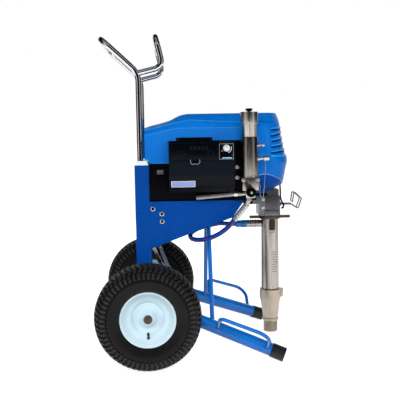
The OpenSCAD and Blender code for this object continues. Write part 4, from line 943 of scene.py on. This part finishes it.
# Turned fittings: start, a point they run towards, profile, finish, sides and, if not the finish's own, slot
SLEEVE_BANDS = [(r, 8 + 9 * k + t) for k in range(5) for r, t in ((9.5, 0), (8.9, 1), (8.9, 2.4), (9.5, 3.4))]
NIPPLE_RIBS = [(r, 3 + 9 * k + t) for k in range(5) for r, t in ((12.5, 0), (14.2, 1), (14.2, 4), (12.5, 5))]
FITTINGS = {
    "outlet_stub": ((348, -203, 642), (385, -203, 642),
        [(0.01, 0), (7.5, 0), (7.5, 11), (6.5, 12), (5, 12.5), (5, 36), (0.01, 36)], "zinc", 24),
    "plug_stub": ((348, -203, 684), (385, -203, 684),
        [(0.01, 0), (6.5, 0), (6.5, 10), (4, 11), (4, 17), (5.6, 19), (6.2, 22.5), (5.6, 26), (3.4, 28.6),
        (0.01, 29)], "sleeve", 24, "zinc"),
    "elbow_drop": ((325, -199, 519), (325, -199, 506), [(0.01, 0), (10, 0), (10, 9), (7, 12), (0.01, 13)],
        "nickel", 6),
    "elbow_arm": ((325, -199, 511), (317, -193, 493),
        [(0.01, 0), (7.4, 0), (7.4, 16), (9, 17), (9, 20.5), (0.01, 20.6)], "nickel", 24),
    "crimp_sleeve": ((317, -193, 493), HOSE[0],
        [(0.01, 0), (7.6, 0), (9.1, 1.2), (9.5, 3), *SLEEVE_BANDS, (9.5, 56), (10, 57), (10, 60),
        (9.2, 61), (0.01, 61)], "sleeve", 32),
    "swivel_nut": (HOSE[-1], (341, 0, 410),
        [(0.01, 0), (10.5, 0), (13, 1.8), (13, 24), (12.2, 26), (12.2, 37), (0.01, 37)], "nut", 6),
    "swivel_collar": (HOSE[-1], (341, 0, 410), [(11, 20), (13.2, 21), (13.2, 36), (12, 37.5), (0.01, 37.5)],
        "nut", 32),
    "outlet_nipple": ((339, 0, 410), (392, 0, 410),
        [(0.01, 0), (12.5, 0), *NIPPLE_RIBS, (12.5, 52), (0.01, 52)], "nickel", 32),
    "drain_nut": ((277, -190, 529), (292, -190, 529),
        [(0.01, 0), (7.2, 0), (8.6, 1.4), (8.6, 12), (7.6, 13.5), (0.01, 13.5)], "zinc", 6),
    "drain_stub": ((290, -190, 529), (316, -190, 529),
        [(0.01, 0), (5, 0), (5, 3), (6.6, 4.5), (7, 7.5), (6.6, 10.5), (5, 12), (5, 24), (0.01, 24)],
        "zinc", 24),
    "outlet_cap_hex": ((372.5, -203, 642), (390.5, -203, 642),
        [(0.01, 0), (7.6, 0), (9.4, 1.4), (9.4, 11), (8.6, 12), (8, 16), (7, 17.5), (0.01, 18)],
        "sleeve", 6, "zinc"),
}


def add_fittings():
    """Stubs, elbow, sleeve, nuts and nipple of the fluid lines, and the outlet's cap."""
    for name, (start, toward, profile, look, sides, *slot) in FITTINGS.items():
        lathe_between(name, start, toward, profile, look, "cart", *slot, steps=sides)
    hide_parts("fittings")
    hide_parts("outlet_cap")


# ---- pump
PUMP = (421, 0, 0)
CYLINDER_R, BORE_R = 30.5, 20


def on_cylinder(x, out, z):
    """A point on the near face of the cylinder, x from its middle, pushed out a little."""
    return PUMP[0] + x, -sqrt((CYLINDER_R + out) ** 2 - x * x), z


def add_housing_cover():
    """The ribbed cover, the lip and the bolts on the bearing housing's near face."""
    block("housing_cover", (401, -50.4, 462), (446, -46, 507), "darkcast", edge=1.2)
    for k in range(7):
        x = 404.5 + 5.7 * k
        block(f"housing_rib_{k}", (x, -51.8, 465), (x + 2.7, -49.5, 504), "darkcast", edge=0.5)
    block("housing_lip", (396, -51.2, 441.6), (447, -46, 460.5), "cast", edge=1.8)
    for k, z in enumerate((497, 470)):
        add_bolt(f"housing_bolt_{k}", 392, -48, z, 4.6, 4)


def add_cylinder_marks():
    """Fine lines and a dark window on the cylinder, and the ring at its foot."""
    for k in range(9):
        arc = [on_cylinder(x, 0.05, 312 - 8.4 * k) for x in row_between(2, 21, 7)]
        tube(f"cylinder_line_{k}", arc, 0.8, "window", sides=6, smooth=False)
    rows = [[on_cylinder(x, 0.25, z) for x in row_between(-6, 14.5, 9)] for z in (389, 428)]
    skin("cylinder_window", rows, "window")
    ring = [(CYLINDER_R, 183), (31.4, 182.6), (31.4, 181.2), (CYLINDER_R, 181)]
    lathe("cylinder_foot_ring", ring, PUMP, "Z", "bronze")


def add_intake():
    """The intake housing with its open bore and its thread, its lug and the ball's stop."""
    outer = [(CYLINDER_R, 181), (35.6, 181), (36.7, 180), (36.7, 151), (36, 147), (34.4, 140.5), (33.3, 137),
             (25.6, 78), (28.2, 77), (28.2, 70), (27, 68.6), (24.2, 68)]
    for k in range(11):
        z = 67 - 3.1 * k
        outer += [(24.2, z), (23.0, z - 1), (23.0, z - 1.6), (24.2, z - 2.6)]
    inner = [(24.2, 31.5), (23, 30), (BORE_R, 30), (BORE_R, 92), (10, 96), (10, 100), (13.6, 104), (13.6, 146),
             (BORE_R, 150), (BORE_R, 165), (CYLINDER_R, 165)]
    lathe("intake_body", closed(outer + inner), PUMP, "Z", "intake", steps=72, stands_for=["intake_housing"])
    block("intake_lug", (451, -10, 151), (465.7, 10, 180), "intake", edge=2)
    tube("intake_stop", [(408, 0, 137), (434, 0, 137)], 2, "steel", sides=12, smooth=False)


def add_strap():
    """The black strap from the cover down to the pail hook's pivot, and the head of its pin."""
    route = [(450, -30, 560), (453, -30, 540), (454, -29, 518), (455, -27, 500), (460, -24, 487),
             (466, -21, 477), (466, -17, 468), (461, -14.5, 462)]
    tube("cover_strap", route, 3, "base", sides=12, flat=(4.6, 2.8))
    head = [(0.01, -16), (4.4, -16), (4.8, -15), (4.8, -12.3), (0.01, -12.3)]
    lathe("hook_pin_head", head, (454, 0, 477), "Y", "zinc", steps=24)


add_filter_details()
add_fittings()
add_housing_cover()
add_cylinder_marks()
add_intake()
add_strap()


# ---- frame trim
def ring_weld(name, centre, along, radius):
    """A slightly wavy bead round a tube where it meets another piece."""
    x, y, z = square_to(along)
    turns = full_circle(40) + [2 * pi]
    points = [Vector(centre) + (radius + 0.25 * sin(9 * q)) * (cos(q) * x + sin(q) * y) for q in turns]
    tube(name, points, 1.6, "leg", smooth=False)


def add_frame_trim():
    """The caps on the axle's ends and the weld at the foot of each strut."""
    cap = [(0.01, 328.5), (9, 328.5), (12.6, 327.6), (13.1, 325.5), (13.1, 321.5), (8, 321.5)]
    for s, key in SIDES:
        lathe(f"axle_end_{key}", [(r, s * h) for r, h in cap], (0, 0, TYRE_R), "Y", "bronze", steps=40)
        ring_weld(f"strut_weld_{key}", (204, s * 180, 128), (0, -s * 0.376, 1), 7.0)


add_frame_trim()


# ---- floor and light, in metres
WORLD_LIGHT, FLOOR_LIGHT = 0.12, 0.45  # what lights the machine, as against what the camera sees
FLOOR_WHITE, FLOOR_GLOW = 0.9, 0.78
GLOW_FROM, GLOW_TO = 0.9, 2.2  # distances over which the floor's glow rises to plain white
CURTAIN_R, CURTAIN_TOP = 4.2, 3.6
CURTAIN_SPANS = ((-130, -66), (-40, 40), (60, 130))  # degrees round from -Y
# Lamps: name, place, aim, size, power, seen in reflections
LAMPS = [("strip_left", (-2.3, -2.0, 1.1), (0, 0, 0.55), (0.6, 2.2), 30, False),
         ("strip_right", (2.3, -1.7, 1.1), (0.1, 0, 0.55), (0.6, 2.2), 22, False),
         ("front", (0.1, -3.4, 1.5), (0, 0, 0.6), (2.6, 1.8), 78, False),
         ("top", (-0.4, -0.9, 2.9), (0, 0, 0.5), (2.0, 1.4), 3, True),
         ("line", (0.2, -2.2, 2.5), (0.1, 0, 0.4), (2.6, 0.7), 4.5, True),
         ("back", (0.0, 3.4, 1.2), (0, 0, 0.5), (2.6, 1.6), 45, False)]


def seen_directly(t):
    """1 for camera, glossy and transmission rays, 0 for the rays that light the scene."""
    paths = node(t, "LightPath")
    total = paths.outputs["Is Camera Ray"]
    for key in ("Is Glossy Ray", "Is Transmission Ray"):
        total = node(t, "Math", {0: total, 1: paths.outputs[key]}, operation="MAXIMUM").outputs[0]
    return total


def add_floor():
    mesh = bpy.data.meshes.new("floor")
    mesh.from_pydata([(-60, -60, 0), (60, -60, 0), (60, 60, 0), (-60, 60, 0)], [], [(0, 1, 2, 3)])
    o = add_object("floor", mesh)
    m = bpy.data.materials.new("floor")
    m.use_nodes = True
    t = m.node_tree
    t.nodes.clear()
    white = node(t, "BsdfDiffuse", {"Color": (FLOOR_WHITE,) * 3}).outputs["BSDF"]
    away = node(t, "VectorMath", {0: node(t, "TexCoord").outputs["Object"]}, operation="LENGTH")
    level = node(t, "MapRange", {"Value": away.outputs["Value"], "From Min": GLOW_FROM, "From Max": GLOW_TO,
                                           "To Min": FLOOR_GLOW, "To Max": 1.0}).outputs["Result"]
    glow = node(t, "Emission", {"Color": (1, 1, 1), "Strength": level}).outputs["Emission"]
    seen = node(t, "AddShader", {0: white, 1: glow}).outputs[0]
    lit = node(t, "BsdfDiffuse", {"Color": (FLOOR_LIGHT,) * 3}).outputs["BSDF"]
    both = node(t, "MixShader", {"Fac": seen_directly(t), 1: lit, 2: seen}).outputs[0]
    node(t, "OutputMaterial", {"Surface": both})
    mesh.materials.append(m)


def curtain_point(angle, z):
    a = radians(angle)
    return CURTAIN_R * sin(a), -CURTAIN_R * cos(a), z


def add_curtain():
    """Dark cloths round the stage and over it that only reflections see, which give metal its dark bands."""
    points, faces = [], []
    for start, end in CURTAIN_SPANS:
        base = len(points)
        count = (end - start) // 3
        for angle in row_between(start, end, count + 1):
            points += [curtain_point(angle, z) for z in (0.01, CURTAIN_TOP)]
        faces += [(i, i + 2, i + 3, i + 1) for i in range(base, base + 2 * count, 2)]
    base = len(points)
    points += [curtain_point(angle, CURTAIN_TOP) for angle in range(0, 360, 10)]
    faces.append(tuple(range(base, len(points))))
    mesh = bpy.data.meshes.new("curtain")
    mesh.from_pydata(points, [], faces)
    m = bpy.data.materials.new("curtain")
    m.use_nodes = True
    cloth = m.node_tree.nodes["Principled BSDF"]
    cloth.inputs["Base Color"].default_value = (0.02, 0.02, 0.022, 1)
    cloth.inputs["Roughness"].default_value = 1
    mesh.materials.append(m)
    o = add_object("curtain", mesh)
    o.visible_camera = o.visible_diffuse = o.visible_transmission = o.visible_shadow = False


def add_lamp(name, at, aim, size, power, shiny):
    data = bpy.data.lights.new(name, "AREA")
    data.shape = "RECTANGLE"
    data.size, data.size_y = size
    data.energy = power
    o = add_object(name, data)
    turn = (Vector(aim) - Vector(at)).to_track_quat("-Z", "Y").to_matrix()
    o.matrix_world = Matrix.Translation(at) @ turn.to_4x4()
    o.visible_glossy = shiny


def add_world():
    world = bpy.data.worlds.new("studio")
    scene.world = world
    world.use_nodes = True
    t = world.node_tree
    t.nodes.clear()
    lit = node(t, "Background", {"Color": (1, 1, 1), "Strength": WORLD_LIGHT}).outputs[0]
    plain = node(t, "Background", {"Color": (1, 1, 1), "Strength": 1.0}).outputs[0]
    both = node(t, "MixShader", {"Fac": seen_directly(t), 1: lit, 2: plain}).outputs[0]
    node(t, "OutputWorld", {"Surface": both})


add_floor()
add_curtain()
add_world()
for lamp in LAMPS:
    add_lamp(*lamp)
